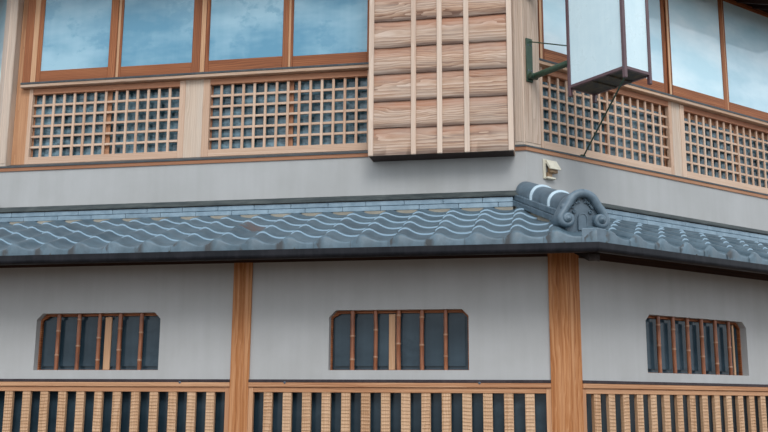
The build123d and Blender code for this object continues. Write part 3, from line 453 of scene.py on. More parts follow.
def plaster(name, colour, shade, grain=0.25):
    """Trowelled plaster with faint clouds, runs and a fine sand grain."""
    s = Surface(name, Roughness=0.88)
    place = s.position()
    cloud = s.noise(place, 1.3, 5.0, 0.6)
    runs = s.drawn(place, (9.0, 9.0, 0.7))
    sand = s.noise(place, 260.0, 3.0, 0.6)
    tone = s.total(s.times(cloud, 0.65), s.times(runs, 0.35))
    body = s.ramp(tone, (0.34, shade), (0.62, colour))
    s.colour(s.mix(s.times(sand, 0.12), body, (0.1, 0.1, 0.1)))
    waves = s.noise(place, 14.0, 3.0, 0.5)
    s.bump(s.total(sand, s.times(waves, 2.0)), grain, 0.002)


def metal(name, colour, worn, roughness=0.4, run=(30.0, 30.0, 3.0), shine=0.5):
    """Painted or bare sheet metal with dull patches and runs."""
    s = Surface(name, Specular_IOR_Level=shine)
    place = s.position()
    patch = s.noise(place, 7.0, 5.0, 0.65)
    runs = s.drawn(place, run)
    tone = s.total(s.times(patch, 0.6), s.times(runs, 0.4))
    s.colour(s.ramp(tone, (0.42, colour), (0.66, worn)))
    s.rough(s.math("MULTIPLY_ADD", patch, 0.3, roughness - 0.15))
    s.bump(s.noise(place, 60.0, 3.0), 0.15, 0.001)


def eave_stains(s, place):
    """Dark patches beside the joints of the eave fronts, and a line at each joint."""
    across = s.node("SeparateXYZ", {0: s.attribute("grain")}).outputs[0]
    beside = s.times(s.math("ABSOLUTE", s.total(across, -0.13)), 5.0)
    patch = s.ramp(s.drawn(place, (9.0, 9.0, 5.0), 3.0, 0.6), (0.48, 0.0), (0.54, 1.0))
    smudge = s.times(patch, s.ramp(beside, (0.50, 0.15), (0.68, 1.0)))
    joint = s.ramp(s.math("MULTIPLY_ADD", across, 10.0, 0.46), (0.0, 0.8), (0.06, 0.0))
    return s.math("MAXIMUM", smudge, joint)


def roof_tile(name, colour, pale, rim, stained=False):
    """Smoked tile with a dull sheen and its own tone; a tint over 1 paints a highlight on a rim, over 2
    rusts a tile.
    """
    s = Surface(name, Specular_IOR_Level=0.6)
    place = s.position()
    cloud = s.noise(place, 9.0, 5.0, 0.6)
    speck = s.noise(place, 140.0, 3.0, 0.6)
    tint = s.attribute("tint")
    body = s.mix(s.ramp(cloud, (0.35, 0.0), (0.7, 1.0)), colour, pale)
    own = s.times(s.math("FRACT", tint), 0.6)
    shown = s.mix(own, body, (0.60, 0.62, 0.64), "MULTIPLY")
    # painted highlight: a tint between 1 and 2 turns the surface to the pale rim colour
    edge = s.times(s.math("GREATER_THAN", tint, 1.0), s.math("LESS_THAN", tint, 2.0))
    shown = s.mix(edge, shown, rim)
    if stained:
        shown = s.mix(eave_stains(s, place), shown, (0.036, 0.041, 0.045))
    fleck = s.ramp(s.noise(place, 30.0, 4.0), (0.4, 0.0), (0.6, 1.0))
    rust = s.mix(fleck, (0.10, 0.058, 0.050), (0.075, 0.075, 0.080))
    spot = s.ramp(s.noise(place, 7.0, 4.0), (0.49, 0.0), (0.54, 0.9))
    shown = s.mix(s.times(s.math("GREATER_THAN", tint, 2.0), spot), shown, rust)
    s.colour(s.mix(s.times(speck, 0.12), shown, (0.02, 0.02, 0.02)))
    s.rough(s.math("MULTIPLY_ADD", cloud, 0.25, 0.34))
    s.bump(s.total(speck, s.times(cloud, 3.0)), 0.18, 0.0015)


def glass(name, low, high, roughness=0.06, folds=0.25, spot=1.0, shine=0.6):
    """Closed panes with dark leaves, faint folds and a painted reflection of a soft sky; a tint over 0.65
    paints a reflection of bright clouds.
    """
    s = Surface(name, Roughness=roughness, Specular_IOR_Level=shine)
    place, tint = s.position(), s.attribute("tint")
    # painted reflection: a soft sky noise sets the tone of the panes
    sky = s.noise(s.stretch(place, 0.9, 0.9, 2.2), spot, 4.0, 0.55)
    curtain = s.drawn(place, (11.0, 11.0, 0.3), 2.0)
    tone = s.total(s.times(sky, 1 - folds), s.times(curtain, folds), s.spread(tint, 0.12))
    leaf = s.noise(s.stretch(place, 1.0, 1.0, 1.3), 2.4 * spot, 7.0, 0.68)
    shown = s.mix(s.ramp(leaf, (0.53, 0.0), (0.60, 0.55)), s.ramp(tone, (0.36, low), (0.62, high)), low)
    # painted reflection of bright clouds, mixed in where the tint is over 0.65
    clouds = s.ramp(sky, (0.35, (0.50, 0.74, 0.84)), (0.62, (0.76, 0.91, 0.97)))
    s.colour(s.mix(s.ramp(tint, (0.65, 0.0), (0.95, 1.0)), shown, clouds))
    s.bump(s.noise(place, 2.0, 2.0), 0.05, 0.01)


def stone(name):
    """Speckled granite with brownish patches."""
    s = Surface(name, Roughness=0.8)
    place = s.position()
    speck = s.noise(place, 320.0, 2.0, 0.7)
    patch = s.noise(place, 5.0, 5.0, 0.6)
    body = s.ramp(speck, (0.38, (0.16, 0.155, 0.15)), (0.5, (0.36, 0.35, 0.34)), (0.64, (0.55, 0.54, 0.52)))
    toned = s.mix(s.times(s.attribute("tint"), 0.3), body, (0.30, 0.28, 0.25))
    s.colour(s.mix(s.ramp(patch, (0.45, 0.0), (0.75, 0.5)), toned, (0.20, 0.18, 0.15)))
    s.bump(s.total(speck, s.times(patch, 4.0)), 0.5, 0.003)


def bamboo(name):
    """Smoked culm: reddish brown with fine streaks, and pale rings at its nodes."""
    s = Surface(name, Roughness=0.38)
    grain = s.attribute("grain")
    streak = s.drawn(grain, (3.0, 160.0, 160.0), 3.0, 0.7)
    patch = s.drawn(grain, (6.0, 20.0, 20.0))
    tone = s.total(s.times(streak, 0.5), s.times(patch, 0.5))
    body = s.ramp(tone, (0.36, (0.13, 0.036, 0.014)), (0.52, (0.30, 0.10, 0.04)), (0.66, (0.42, 0.17, 0.08)))
    s.colour(s.mix(s.math("GREATER_THAN", s.attribute("tint"), 1.0), body, (0.42, 0.24, 0.15)))
    s.bump(streak, 0.2, 0.001)


wood("post_timber", (0.23, 0.066, 0.016), (0.42, 0.165, 0.055), (0.60, 0.31, 0.15), "upright", 9.0, 0.6,
     streak=0.7, wander=0.16)
wood("rail_timber", (0.31, 0.125, 0.055), (0.50, 0.25, 0.125), (0.66, 0.40, 0.235), rings=18.0)
wood("lattice_timber", (0.34, 0.17, 0.075), (0.54, 0.33, 0.19), (0.70, 0.50, 0.33), rings=22.0, contrast=0.6)
wood("sash_timber", (0.09, 0.020, 0.007), (0.26, 0.078, 0.026), (0.48, 0.19, 0.075), rings=20.0,
     contrast=0.95, roughness=0.55)
wood("sash_edge", (0.40, 0.18, 0.08), (0.58, 0.33, 0.18), (0.70, 0.48, 0.31), rings=20.0, contrast=0.5)
# darker than the bars: partly the head's own orange-brown, partly painted shade from the sill above
wood("shaded_lattice_head", (0.25, 0.090, 0.045), (0.42, 0.185, 0.100), (0.55, 0.29, 0.17), rings=20.0,
     contrast=0.5)
wood("pale_timber", (0.42, 0.24, 0.155), (0.60, 0.41, 0.29), (0.72, 0.56, 0.44), rings=24.0, contrast=0.5)
wood("weathered_timber", (0.36, 0.22, 0.14), (0.55, 0.42, 0.32), (0.70, 0.60, 0.50), "upright", 16.0, 0.7,
     weather=0.75)
wood("carried_weathered", (0.40, 0.24, 0.15), (0.60, 0.46, 0.35), (0.74, 0.64, 0.54), rings=16.0,
     weather=0.5)
wood("sill_timber", (0.25, 0.11, 0.055), (0.46, 0.26, 0.15), (0.65, 0.46, 0.32), rings=18.0, contrast=0.9,
     weather=0.4)
wood("batten_timber", (0.49, 0.32, 0.23), (0.66, 0.50, 0.39), (0.78, 0.66, 0.56), rings=18.0, contrast=0.4,
     weather=0.3)
wood("box_board", (0.20, 0.10, 0.062), (0.46, 0.29, 0.195), (0.66, 0.50, 0.40), rings=13.0, contrast=1.0,
     figure=0.65, board=True, wander=0.14, weather=0.35)
wood("brown_board", (0.20, 0.075, 0.035), (0.38, 0.17, 0.085), (0.52, 0.29, 0.17), rings=18.0)
wood("pink_board", (0.34, 0.225, 0.16), (0.51, 0.385, 0.30), (0.68, 0.55, 0.45), rings=18.0, contrast=0.8,
     weather=0.3)
wood("dark_timber", (0.018, 0.008, 0.005), (0.045, 0.020, 0.012), (0.08, 0.036, 0.02), "level", 12.0)
# painted shade: the hip rafters are made near black so their lit ends look shaded under the eave
wood("shaded_hip_timber", (0.006, 0.004, 0.003), (0.012, 0.007, 0.005), (0.020, 0.011, 0.008), "level", 12.0,
     roughness=0.9)
wood("dark_board", (0.018, 0.008, 0.006), (0.040, 0.018, 0.014), (0.07, 0.032, 0.022), rings=12.0)
wood("floor_boards", (0.10, 0.055, 0.03), (0.17, 0.10, 0.055), (0.24, 0.15, 0.09), "level", 12.0)
plaster("lower_plaster", (0.49, 0.492, 0.49), (0.42, 0.417, 0.408))
plaster("upper_plaster", (0.45, 0.452, 0.448), (0.385, 0.385, 0.376))
plaster("party_plaster", (0.46, 0.44, 0.41), (0.37, 0.35, 0.32), 0.5)
plaster("mortar", (0.29, 0.265, 0.215), (0.19, 0.172, 0.138), 0.6)
metal("rail_strip", (0.028, 0.019, 0.022), (0.055, 0.040, 0.044), 0.5, shine=0.3)
metal("gutter", (0.009, 0.010, 0.013), (0.022, 0.022, 0.027), 0.42, shine=0.15)
metal("gutter_seam", (0.050, 0.060, 0.062), (0.10, 0.12, 0.12), 0.5)
metal("flashing", (0.028, 0.040, 0.050), (0.070, 0.080, 0.085), 0.5)
metal("stained_flashing", (0.030, 0.040, 0.043), (0.085, 0.098, 0.095), 0.6, (2.0, 2.0, 30.0), shine=0.25)
metal("sign_metal", (0.085, 0.040, 0.050), (0.12, 0.066, 0.072), 0.4)
metal("sign_panel", (0.64, 0.80, 0.85), (0.58, 0.75, 0.81), 0.3)
metal("sign_floor", (0.035, 0.038, 0.040), (0.15, 0.11, 0.05), 0.6)
metal("bracket_metal", (0.020, 0.055, 0.033), (0.05, 0.09, 0.058), 0.45)
metal("lamp_shell", (0.66, 0.62, 0.50), (0.54, 0.50, 0.40), 0.5)
metal("lamp_foot", (0.30, 0.19, 0.10), (0.22, 0.13, 0.07), 0.5)
metal("iron", (0.05, 0.075, 0.11), (0.10, 0.13, 0.17), 0.4)
# the last colour of each tile is the pale colour of its painted rim highlight
roof_tile("roof_tile", (0.054, 0.093, 0.121), (0.102, 0.156, 0.194), (0.28, 0.41, 0.51))
roof_tile("eave_tile", (0.062, 0.110, 0.143), (0.122, 0.190, 0.240), (0.34, 0.49, 0.60), stained=True)
roof_tile("flat_tile", (0.18, 0.27, 0.34), (0.30, 0.41, 0.49), (0.42, 0.52, 0.60))
roof_tile("ridge_tile", (0.068, 0.112, 0.148), (0.145, 0.205, 0.255), (0.48, 0.61, 0.69))
# the upper panes' pale blue is a painted sky reflection
glass("upper_glass", (0.105, 0.30, 0.44), (0.32, 0.53, 0.64), folds=0.1)
glass("shaded_glass", (0.008, 0.030, 0.042), (0.16, 0.27, 0.33), 0.08, folds=0.25, spot=6.0)
glass("lower_glass", (0.016, 0.032, 0.045), (0.045, 0.075, 0.098), 0.16, shine=0.3)
stone("stone")
bamboo("bamboo")

CARRIED = {
    "post_timber": ["lower_corner_posts", "lower_wall_posts"],
    "weathered_timber": ["upper_corner_posts"],
    "dark_timber": ["wall_plates", "eave_rafters", "pent_decks", "head_beams", "main_roof_deck"],
    # hip rafters in near-black timber: painted shade
    "shaded_hip_timber": ["hip_rafters"],
    "floor_boards": ["ground_floor", "upper_floor", "ceiling"],
    "lower_plaster": ["front_wall", "right_wall", "left_wall"],
    "upper_plaster": ["upper_wall_front", "upper_wall_right", "upper_wall_left", "shutter_box_wall"],
    "party_plaster": ["party_wall_right", "party_wall_left"],
    "gutter": ["gutter_front", "gutter_right", "gutter_left"],
    "lower_glass": ["lower_glass"],
}
BEVELLED = {"post_timber": 0.006, "weathered_timber": 0.005}

for material, nodes in CARRIED.items():
    for node in nodes:
        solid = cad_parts[node]
        solid.data.materials.clear()
        solid.data.materials.append(MATERIALS[material])
        if material in BEVELLED:
            edge = solid.modifiers.new("edge", "BEVEL")
            edge.width, edge.segments, edge.limit_method = BEVELLED[material], 2, "ANGLE"


# Tiled slopes
TILE_PROFILE = [
    (-0.008, 0.026), (-0.004, 0.044), (0.010, 0.058), (0.031, 0.068), (0.056, 0.070), (0.082, 0.061),
    (0.108, 0.045), (0.136, 0.031), (0.166, 0.021), (0.200, 0.016), (0.235, 0.016), (0.266, 0.020),
    (0.297, 0.027),
]
EAVE_PROFILE = [
    (-0.046, 0.020), (-0.030, 0.025), (-0.012, 0.038), (0.008, 0.056), *TILE_PROFILE[3:-1], (0.280, 0.024),
]
TILE_WIDTH = 0.30
TILE_THICKNESS = 0.017
PENT_DECK_TOP, PENT_PITCH = 2.736, 0.395
MAIN_DECK_TOP, MAIN_PITCH = 6.05, 0.42
FRONT_TILE_JOINT = -1.608


class Slope:
    """One plane of a roof, from its eave inwards."""

    def __init__(self, side, edges, deck_top, pitch):
        self.name, self.side, self.edge = side, SIDES[side], edges[side]
        self.edges, self.deck_top, self.pitch = edges, deck_top, pitch

    def at(self, u, v, h):
        return self.side.at(u, self.edge - v, self.deck_top + self.pitch * v + h)

    def planes(self):
        """Upright planes at its hips, and at the party walls where it ends against them."""
        found = []
        level = self.side.out.dot(self.side.foot) + self.edge
        for name, other in SIDES.items():
            if name in self.edges and name != self.name:
                across = other.out - self.side.out
                gap = other.out.dot(other.foot) + self.edges[name] - level
                found.append((across * (gap / across.length_squared), across))
            elif name != self.name:
                found.append((other.foot, other.out))
        return found

    def span(self):
        """Ends of its eave, measured along it."""
        place = list(SIDES).index(self.name)
        found = []
        for step in (-1, 1):
            other = list(SIDES)[(place + step) % 5]
            edges = {**self.edges, other: self.edges.get(other, 0.0)}
            corner = eave_point(edges, 0, 0, self.name, other)
            found.append((corner - self.side.foot).dot(self.side.right))
        return sorted(found)


def outside(point, planes, margin):
    """Whether a point lies more than the margin beyond any of the planes."""
    return any((point - place).dot(normal.normalized()) > margin for place, normal in planes)


def tile_course(piece, slope, planes, u0, columns, v0, length, stained=None, first=False, flat=0.0):
    """One row of tiles, each with a roll on its left, on the row below; the rolls sink towards a wall."""
    lip = TILE_THICKNESS - 0.003
    for i in range(columns):
        left = u0 + i * TILE_WIDTH
        drop, turn = (0.0, 0.0) if first else (rng.uniform(-0.002, 0.002), rng.uniform(-0.003, 0.003))
        own, worn = rng.random() * 0.98, 2.0 if stained == i else 0.0
        if outside(slope.at(left + TILE_WIDTH / 2, v0 + length / 2, 0), planes, 0.35):
            continue

        def row(v, lift):
            sunk = 1.0 - flat * max(0.0, v - 0.70)
            return [slope.at(left + x, v + turn * x + drop, h * sunk + lift) for x, h in TILE_PROFILE]

        if first:
            piece.grid([row(v0 + 0.010, TILE_THICKNESS), row(v0 + length, 0)], tint=own)
            continue
        # painted highlight: the front lip takes a tint over 1 for a pale rim; on the rusty tile, a tint over
        # 2 shows its rust instead
        piece.grid([row(v0, 0), row(v0, lip)], tint=own + max(1.0, worn))
        upper = [row(v0, lip), row(v0 + 0.004, TILE_THICKNESS), row(v0 + length / 2, TILE_THICKNESS / 2),
                 row(v0 + length, 0)]
        piece.grid(upper, tint=own + worn)


def eave_course(piece, slope, planes, u0, columns, v_face, drop):
    """Pendant fronts of the first row, folded over at the top, with their lower edge in one line."""
    top = [(x, h + TILE_THICKNESS) for x, h in EAVE_PROFILE]
    grain = [[Vector((x, h, 0.0)) for x, h in top]] * 4
    for i in range(columns):
        left = u0 + i * TILE_WIDTH
        tone = rng.random() * 0.6
        if outside(slope.at(left + TILE_WIDTH / 2, 0, 0), planes, 0.35):
            continue
        lean = rng.uniform(-0.003, 0.003)
        rows = []
        for back, down in ((0.0, None), (0.0, 0.014), (0.002, 0.005), (0.010, 0.0)):
            row = []
            for x, h in top:
                bulge = 0.003 + 0.014 * max(0.0, 1 - abs(x - 0.030) / 0.085) if x < 0.12 else 0.0
                v = v_face + lean * x - bulge * (1 - back / 0.010) + back
                row.append(slope.at(left + x, v, -drop if down is None else h - down))
            rows.append(row)
        piece.grid(rows, grain, tone)
        piece.grid([[slope.at(left + x, 0.02, -drop) for x, _ in top], rows[0]], grain[:2], tone)


def tiled_slope(field, fronts, slope, u0, u1, v_start, v_top, rows, drop, stain=(None, None), flat=0.0):
    """Eave fronts and tile rows over one plane, trimmed at its hips; stain is a tile's row and column."""
    tiles, eave = Piece(), Piece()
    planes = slope.planes()
    columns = round((u1 - u0) / TILE_WIDTH)
    exposure = (v_top - v_start) / rows
    for r in range(rows):
        stained = stain[1] if stain[0] == r else None
        v0 = v_start + r * exposure
        tile_course(tiles, slope, planes, u0, columns, v0, exposure + 0.03, stained, r == 0, flat)
    eave_course(eave, slope, planes, u0, columns, v_start, drop)
    for part, whole in ((tiles, field), (eave, fronts)):
        part.cut(planes)
        whole.merge(part)


def pent_columns(slope):
    """Where the first and the last tile joint of a pent slope lie."""
    u0, u1 = slope.span()
    if slope.name == "front":
        u0 = FRONT_TILE_JOINT - TILE_WIDTH * ceil((FRONT_TILE_JOINT - u0) / TILE_WIDTH)
        return u0, FRONT_TILE_JOINT + TILE_WIDTH * ceil((u1 - FRONT_TILE_JOINT) / TILE_WIDTH)
    return (u0 - 0.2, u1) if slope.name == "right" else (u0, u1 + 0.2)


def pent_roof():
    """Tiles over the street front and both wings, up to the wall of the upper storey."""
    field = Piece("pent_tile_field", "roof_tile", "roof_tile", "pent_tiles", smooth=40)
    fronts = Piece("pent_eave_fronts", "eave_tile", "roof_tile", "pent_tiles", smooth=50)
    for side in STREET:
        slope = Slope(side, PENT_EDGE, PENT_DECK_TOP, PENT_PITCH)
        u0, u1 = pent_columns(slope)
        stain = (2, round((0.17 - u0) / TILE_WIDTH)) if side == "front" else (None, None)
        tiled_slope(field, fronts, slope, u0, u1 + 0.2, v_start=-0.03, v_top=1.21, rows=5, drop=0.03,
                    stain=stain, flat=0.9)


def main_roof():
    """Tiles over all five slopes above the upper storey."""
    rows, exposure = 21, 0.248
    field = Piece("main_tile_field", "roof_tile", "roof_tile", "main_roof_tiles", smooth=40)
    fronts = Piece("main_eave_fronts", "eave_tile", "roof_tile", "main_roof_tiles", smooth=50)
    for side in SIDES:
        slope = Slope(side, MAIN_EDGE, MAIN_DECK_TOP, MAIN_PITCH)
        u0, u1 = slope.span()
        start = -0.03 if side in STREET else 0.018
        tiled_slope(field, fronts, slope, u0, u1 + 0.2, start, start + rows * exposure, rows, drop=0.0)


# Ridges and the courses at the wall
class Ridge:
    """A hip or ridge line from its foot to its head, over the deck; its courses may sag above the foot."""

    def __init__(self, foot, head, sag=0.0):
        run = head - foot
        level = Vector((run.x, run.y, 0))
        self.foot, self.length, self.sag = foot, level.length, sag
        self.forward = level.normalized()
        self.across = Vector((self.forward.y, -self.forward.x, 0))
        self.rise = run.z / self.length

    def at(self, w, s, h):
        h -= self.sag * max(0.0, s - 0.33)
        return self.foot + self.forward * s + self.across * w + Vector((0, 0, self.rise * s + h))


def tiles_between(start, end, first, length):
    """Ends of the flat tiles from start to end, where the first joint may lie before the start."""
    joint = 0.0015
    while first < end:
        a, b = max(first, start), min(first + length, end)
        if b - a > 0.02:
            yield a + joint, b - joint
        first += length


def flat_courses(piece, ridge, start, end, layers, length=0.30):
    """Flat tiles in layers along a ridge, with staggered joints."""
    for k, (half, low, high) in enumerate(layers):
        for a, b in tiles_between(start, end, start - (k % 2) * length / 2, length):
            piece.box(ridge.at, (-half, a, low), (half, b, high), 0.004, 1)


def round_caps(piece, ridge, joints, radius, base, axis):
    """Half-round tiles between the joints, each with a raised collar at its lower end that carries a painted
    pale highlight.
    """
    for start, end in zip(joints, joints[1:]):
        tone = rng.random() * 0.98

        def ring(s, r):
            arc = [(-r * cos(pi * k / 14), axis + r * sin(pi * k / 14)) for k in range(15)]
            return [ridge.at(w, s, h) for w, h in [(-r, base), *arc, (r, base)]]

        collar = [ring(start, radius - 0.020), ring(start, radius - 0.004), ring(start + 0.004, radius),
                  ring(start + 0.024, radius), ring(start + 0.029, radius - 0.010)]
        # painted highlight: the collar's tint over 1 gives it the tile's pale rim colour
        piece.grid(collar, tint=1.0 + tone)
        piece.grid([ring(start + 0.029, radius - 0.010), ring(end + 0.03, radius - 0.016)], tint=tone)


def curl(centre, start, sweep, wide, narrow, steps=26):
    """Points of a flat spiral that winds in, with angles in degrees."""
    points = []
    for k in range(steps + 1):
        part = k / steps
        angle, r = radians(start + sweep * part), wide + (narrow - wide) * part
        points.append((centre[0] + r * cos(angle), centre[1] + r * sin(angle)))
    return points


def ridge_end_tile(piece, ridge, start, base, scale=1.0):
    """Arched tile whose rolled band ends in two bulging scrolls, with a tongue and clouds between them."""
    lift = base + ridge.rise * start

    def place(w, t, h):
        level = ridge.foot + ridge.forward * (start + t * scale) + ridge.across * (w * scale)
        return level + Vector((0, 0, lift + h * scale))

    def rod(sign, places, radii, sides, tint):
        path = [place(sign * w, t, h) for w, t, h in places]
        tube(piece, path, [r * scale for r in radii], sides, tint)

    arch = [(0.146 * sin(radians(a)), 0.15 + 0.146 * cos(radians(a))) for a in range(0, 71, 7)]
    scroll = [(0.14 + 0.066 * cos(radians(a)), 0.066 + 0.066 * sin(radians(a))) for a in range(50, -81, -13)]
    half = [*arch, *scroll, (0.12, -0.07)]
    outline = half + [(-w, h) for w, h in reversed(half) if w > 0]
    body = ((0.034, 0.93), (0.020, 0.97), (0.034, 1.0), (0.085, 1.03), (0.17, 1.0), (0.215, 0.93),
            (0.225, 0.8))
    rings = [[place(w * grow, t, 0.07 + (h - 0.07) * grow) for w, h in outline] for t, grow in body]
    shades = [0.95] * len(outline) + [0.3] * ((len(body) - 1) * len(outline))
    piece.grid(rings, tint=shades, wrap=True, caps=True)

    crown = [(0.119 * sin(radians(a)), 0.151 + 0.119 * cos(radians(a))) for a in range(0, 66, 8)]
    spiral = curl((0.138, 0.060), 52, -640, 0.055, 0.005, 44)
    band = [(w, 0.012, h) for w, h in crown]
    band += [(w, 0.010 - 0.034 * k / 44, h) for k, (w, h) in enumerate(spiral)]
    thick = [0.035] * len(crown) + [0.029 - 0.017 * k / 44 for k in range(45)]
    clouds = (((0.048, 0.205), 200, -430, 0.024), ((0.078, 0.168), 160, -400, 0.020),
              ((0.024, 0.232), 150, -380, 0.015), ((0.070, 0.128), 120, 360, 0.014))
    for sign in (-1, 1):
        rod(sign, band, thick, 10, 0.1)
        rod(sign, [(0.138, t, 0.060) for t in (0.03, -0.01, -0.034, -0.044)], [0.058, 0.040, 0.020, 0.004],
            14, 0.2)
        rod(sign, ((0.150, 0.02, 0.150), (0.152, 0.0, 0.148), (0.152, -0.008, 0.147)), [0.036, 0.030, 0.010],
            12, 0.1)
        for centre, angle, turn, size in clouds:
            swirl = curl(centre, angle, turn, size, 0.003, 18)
            cloud = [(w, 0.028 - 0.006 * k / 18, h) for k, (w, h) in enumerate(swirl)]
            rod(sign, cloud, [0.0085] * 19, 6, 0.6)

    tongue = [(0.040, -0.02), (0.040, 0.07), (0.034, 0.095), (0.020, 0.112), (0, 0.118)]
    tongue += [(-w, h) for w, h in reversed(tongue[:-1])]
    inner = [(w * 0.80, h * 0.93) for w, h in tongue]
    steps = ((0.034, tongue), (0.016, tongue), (0.016, inner), (0.022, inner))
    piece.grid([[place(w, t, h) for w, h in line] for t, line in steps], tint=0.5)
    piece.add([place(w, 0.022, h) for w, h in inner], [list(range(len(inner)))], tint=0.15)


def pent_ridge(side):
    """The hip of the pent roof between the front and one wing."""
    foot = eave_point(PENT_EDGE, PENT_DECK_TOP, PENT_PITCH, "front", side)
    head = eave_point({s: -BAND_FACE for s in STREET}, 0, 0, "front", side)
    head.z = PENT_DECK_TOP + PENT_PITCH * (0.52 + BAND_FACE)
    return Ridge(foot, head, 0.028)


def hip_ridges():
    """Mortar, two flat courses, round caps and ridge ends on the pent roof's hips."""
    courses = Piece("hip_flat_courses", "ridge_tile", "roof_tile", "hip_ridges")
    rounds = Piece("hip_round_caps", "ridge_tile", "roof_tile", "hip_ridges", smooth=40)
    bed = Piece("hip_mortar", "mortar", "roof_tile", "hip_ridges", smooth=60)
    ornaments = Piece("ridge_end_ornaments", "ridge_tile", "roof_tile", "ridge_end_tiles", smooth=50)
    start, steps = 0.30, 40
    for side in ("right", "left"):
        ridge = pent_ridge(side)
        flat_courses(courses, ridge, 0.335, ridge.length, [(0.15, 0.050, 0.100), (0.136, 0.103, 0.153)])
        rows = []
        for k in range(steps + 1):
            s = start + (ridge.length - start) * k / steps
            w = 0.125 + 0.012 * noise.noise((s * 14, 3.0, 0.125))
            section = ((-w - 0.02, 0.0), (-w, 0.055), (w, 0.055), (w + 0.02, 0.0))
            rows.append([ridge.at(x, s, h) for x, h in section])
        bed.grid(rows, tint=0.5)
        round_caps(rounds, ridge, [start, 0.61, 1.01, ridge.length - 0.03], 0.122, 0.150, 0.172)
        ridge_end_tile(ornaments, ridge, 0.18, 0.058)


def main_ridges():
    """Mortar, three flat courses, round caps and ridge ends on the main roof's hips and ridges."""
    courses = Piece("main_flat_courses", "ridge_tile", "roof_tile", "main_roof_ridges")
    rounds = Piece("main_round_caps", "ridge_tile", "roof_tile", "main_roof_ridges", smooth=40)
    ornaments = Piece("main_ridge_end_ornaments", "ridge_tile", "roof_tile", "main_roof_ridges", smooth=50)
    bed = Piece("main_mortar", "mortar", "roof_tile", "main_roof_ridges")

    def point(*sides):
        return eave_point(MAIN_EDGE, MAIN_DECK_TOP, MAIN_PITCH, *sides)

    peak = point("front", "rear_right", "rear_left")
    runs = [(point("rear_right", "rear_left"), peak)]
    for side in ("right", "left"):
        shoulder = point("front", side, "rear_" + side)
        runs += [(point("front", side), shoulder), (point(side, "rear_" + side), shoulder), (shoulder, peak)]
    for foot, head in runs:
        ridge = Ridge(foot, head)
        hip = foot.z < MAIN_DECK_TOP + 0.01
        start = 0.17 if hip else 0.0
        bed.box(ridge.at, (-0.09, start, -0.02), (0.09, ridge.length, 0.07), 0.01, 1, 0.5)
        layers = [(0.110, 0.062, 0.100), (0.104, 0.103, 0.141), (0.098, 0.144, 0.182)]
        flat_courses(courses, ridge, start, ridge.length, layers)
        count = round((ridge.length - start) / 0.36)
        joints = [start + (ridge.length - start - 0.04) * k / count for k in range(count + 1)]
        round_caps(rounds, ridge, joints, 0.083, 0.175, 0.186)
        if hip:
            ridge_end_tile(ornaments, ridge, 0.06, 0.045, 0.72)


COURSE_TILE = 0.36
COURSES = ((0.05, 0.690, 3.250, 3.293), (0.19, 0.693, 3.297, 3.342))  # first joint, face, foot, top
FLASHING = [(0.680, 3.347), (0.680, 3.357), (0.790, 3.420), (0.790, 3.414), (0.684, 3.351)]


def wall_courses():
    """Flat tiles bedded in mortar above the top row, and the flashing over them."""
    flat = Piece("wall_flat_courses", "flat_tile", "roof_tile", "wall_courses")
    bed = Piece("wall_mortar", "mortar", "roof_tile", "wall_courses", smooth=60)
    flashing = Piece("wall_flashing", "stained_flashing", "roof_tile", "wall_courses")
    shadow = Piece("wall_flashing_shadow_strip", "dark_board", "roof_tile", "wall_courses")
    for side, at in WALLS.items():
        start, end = (-2.562, 2.562) if side == "front" else (0.448, WING_LENGTH)
        for before, face, low, high in COURSES:
            for a, b in tiles_between(start, end, start - before, COURSE_TILE):
                flat.box(at, (a, face, low), (b, BAND_FACE, high), 0.003, 0)
        slope = Slope(side, PENT_EDGE, PENT_DECK_TOP, PENT_PITCH)
        joint = pent_columns(slope)[0]
        count = round((end - start) / 0.015)
        rows = []
        for k in range(count + 1):
            s = start + (end - start) * k / count
            along = (slope.side.right.dot(at(s, 0, 0) - slope.side.foot) - joint) % TILE_WIDTH / TILE_WIDTH
            back = 0.006 * noise.noise((s * 11, 1.0, 0.0)) + (0.055 if 0.05 < along < 0.33 else 0.0)
            rough = 0.006 * noise.noise((s * 23, 5.0, 0.0))
            section = ((0.618 + back + rough, 3.180), (0.646 + back, 3.214 + rough), (0.680 + back, 3.240),
                       (0.702 + back * 0.5, 3.253))
            rows.append([at(s, d, z) for d, z in section])
        bed.grid(rows, tint=0.5)
        # painted shadow: a dark strip fills the gap between the flat courses and the flashing
        shadow.box(at, (start, 0.704, 3.340), (end, BAND_FACE, 3.352), 0.001, 0)
        moulding(flashing, side, FLASHING, end=WING_LENGTH)


def corner_blocks():
    """Two-faced tiles that close the eave's corners under the ridge ends."""
    piece = Piece("eave_corner_tiles", "ridge_tile", "roof_tile", "ridge_end_tiles")
    size = 0.108
    for side in ("right", "left"):
        other, front = SIDES[side], SIDES["front"]
        corner = eave_point({s: 0.555 for s in STREET}, 0, 0, "front", side)
        sign = 1 if side == "right" else -1
        one, two = -front.right * sign * size, other.right * sign * size
        rows = []
        for z, grow in ((2.702, 1.0), (2.812, 1.0), (2.818, 0.90)):
            middle = corner + (one + two) / 2
            outline = [corner, corner + one, corner + one + two, corner + two]
            rows.append([middle + (p - middle) * grow + Vector((0, 0, z)) for p in outline])
        piece.grid(rows, tint=0.2, wrap=True, caps=True)


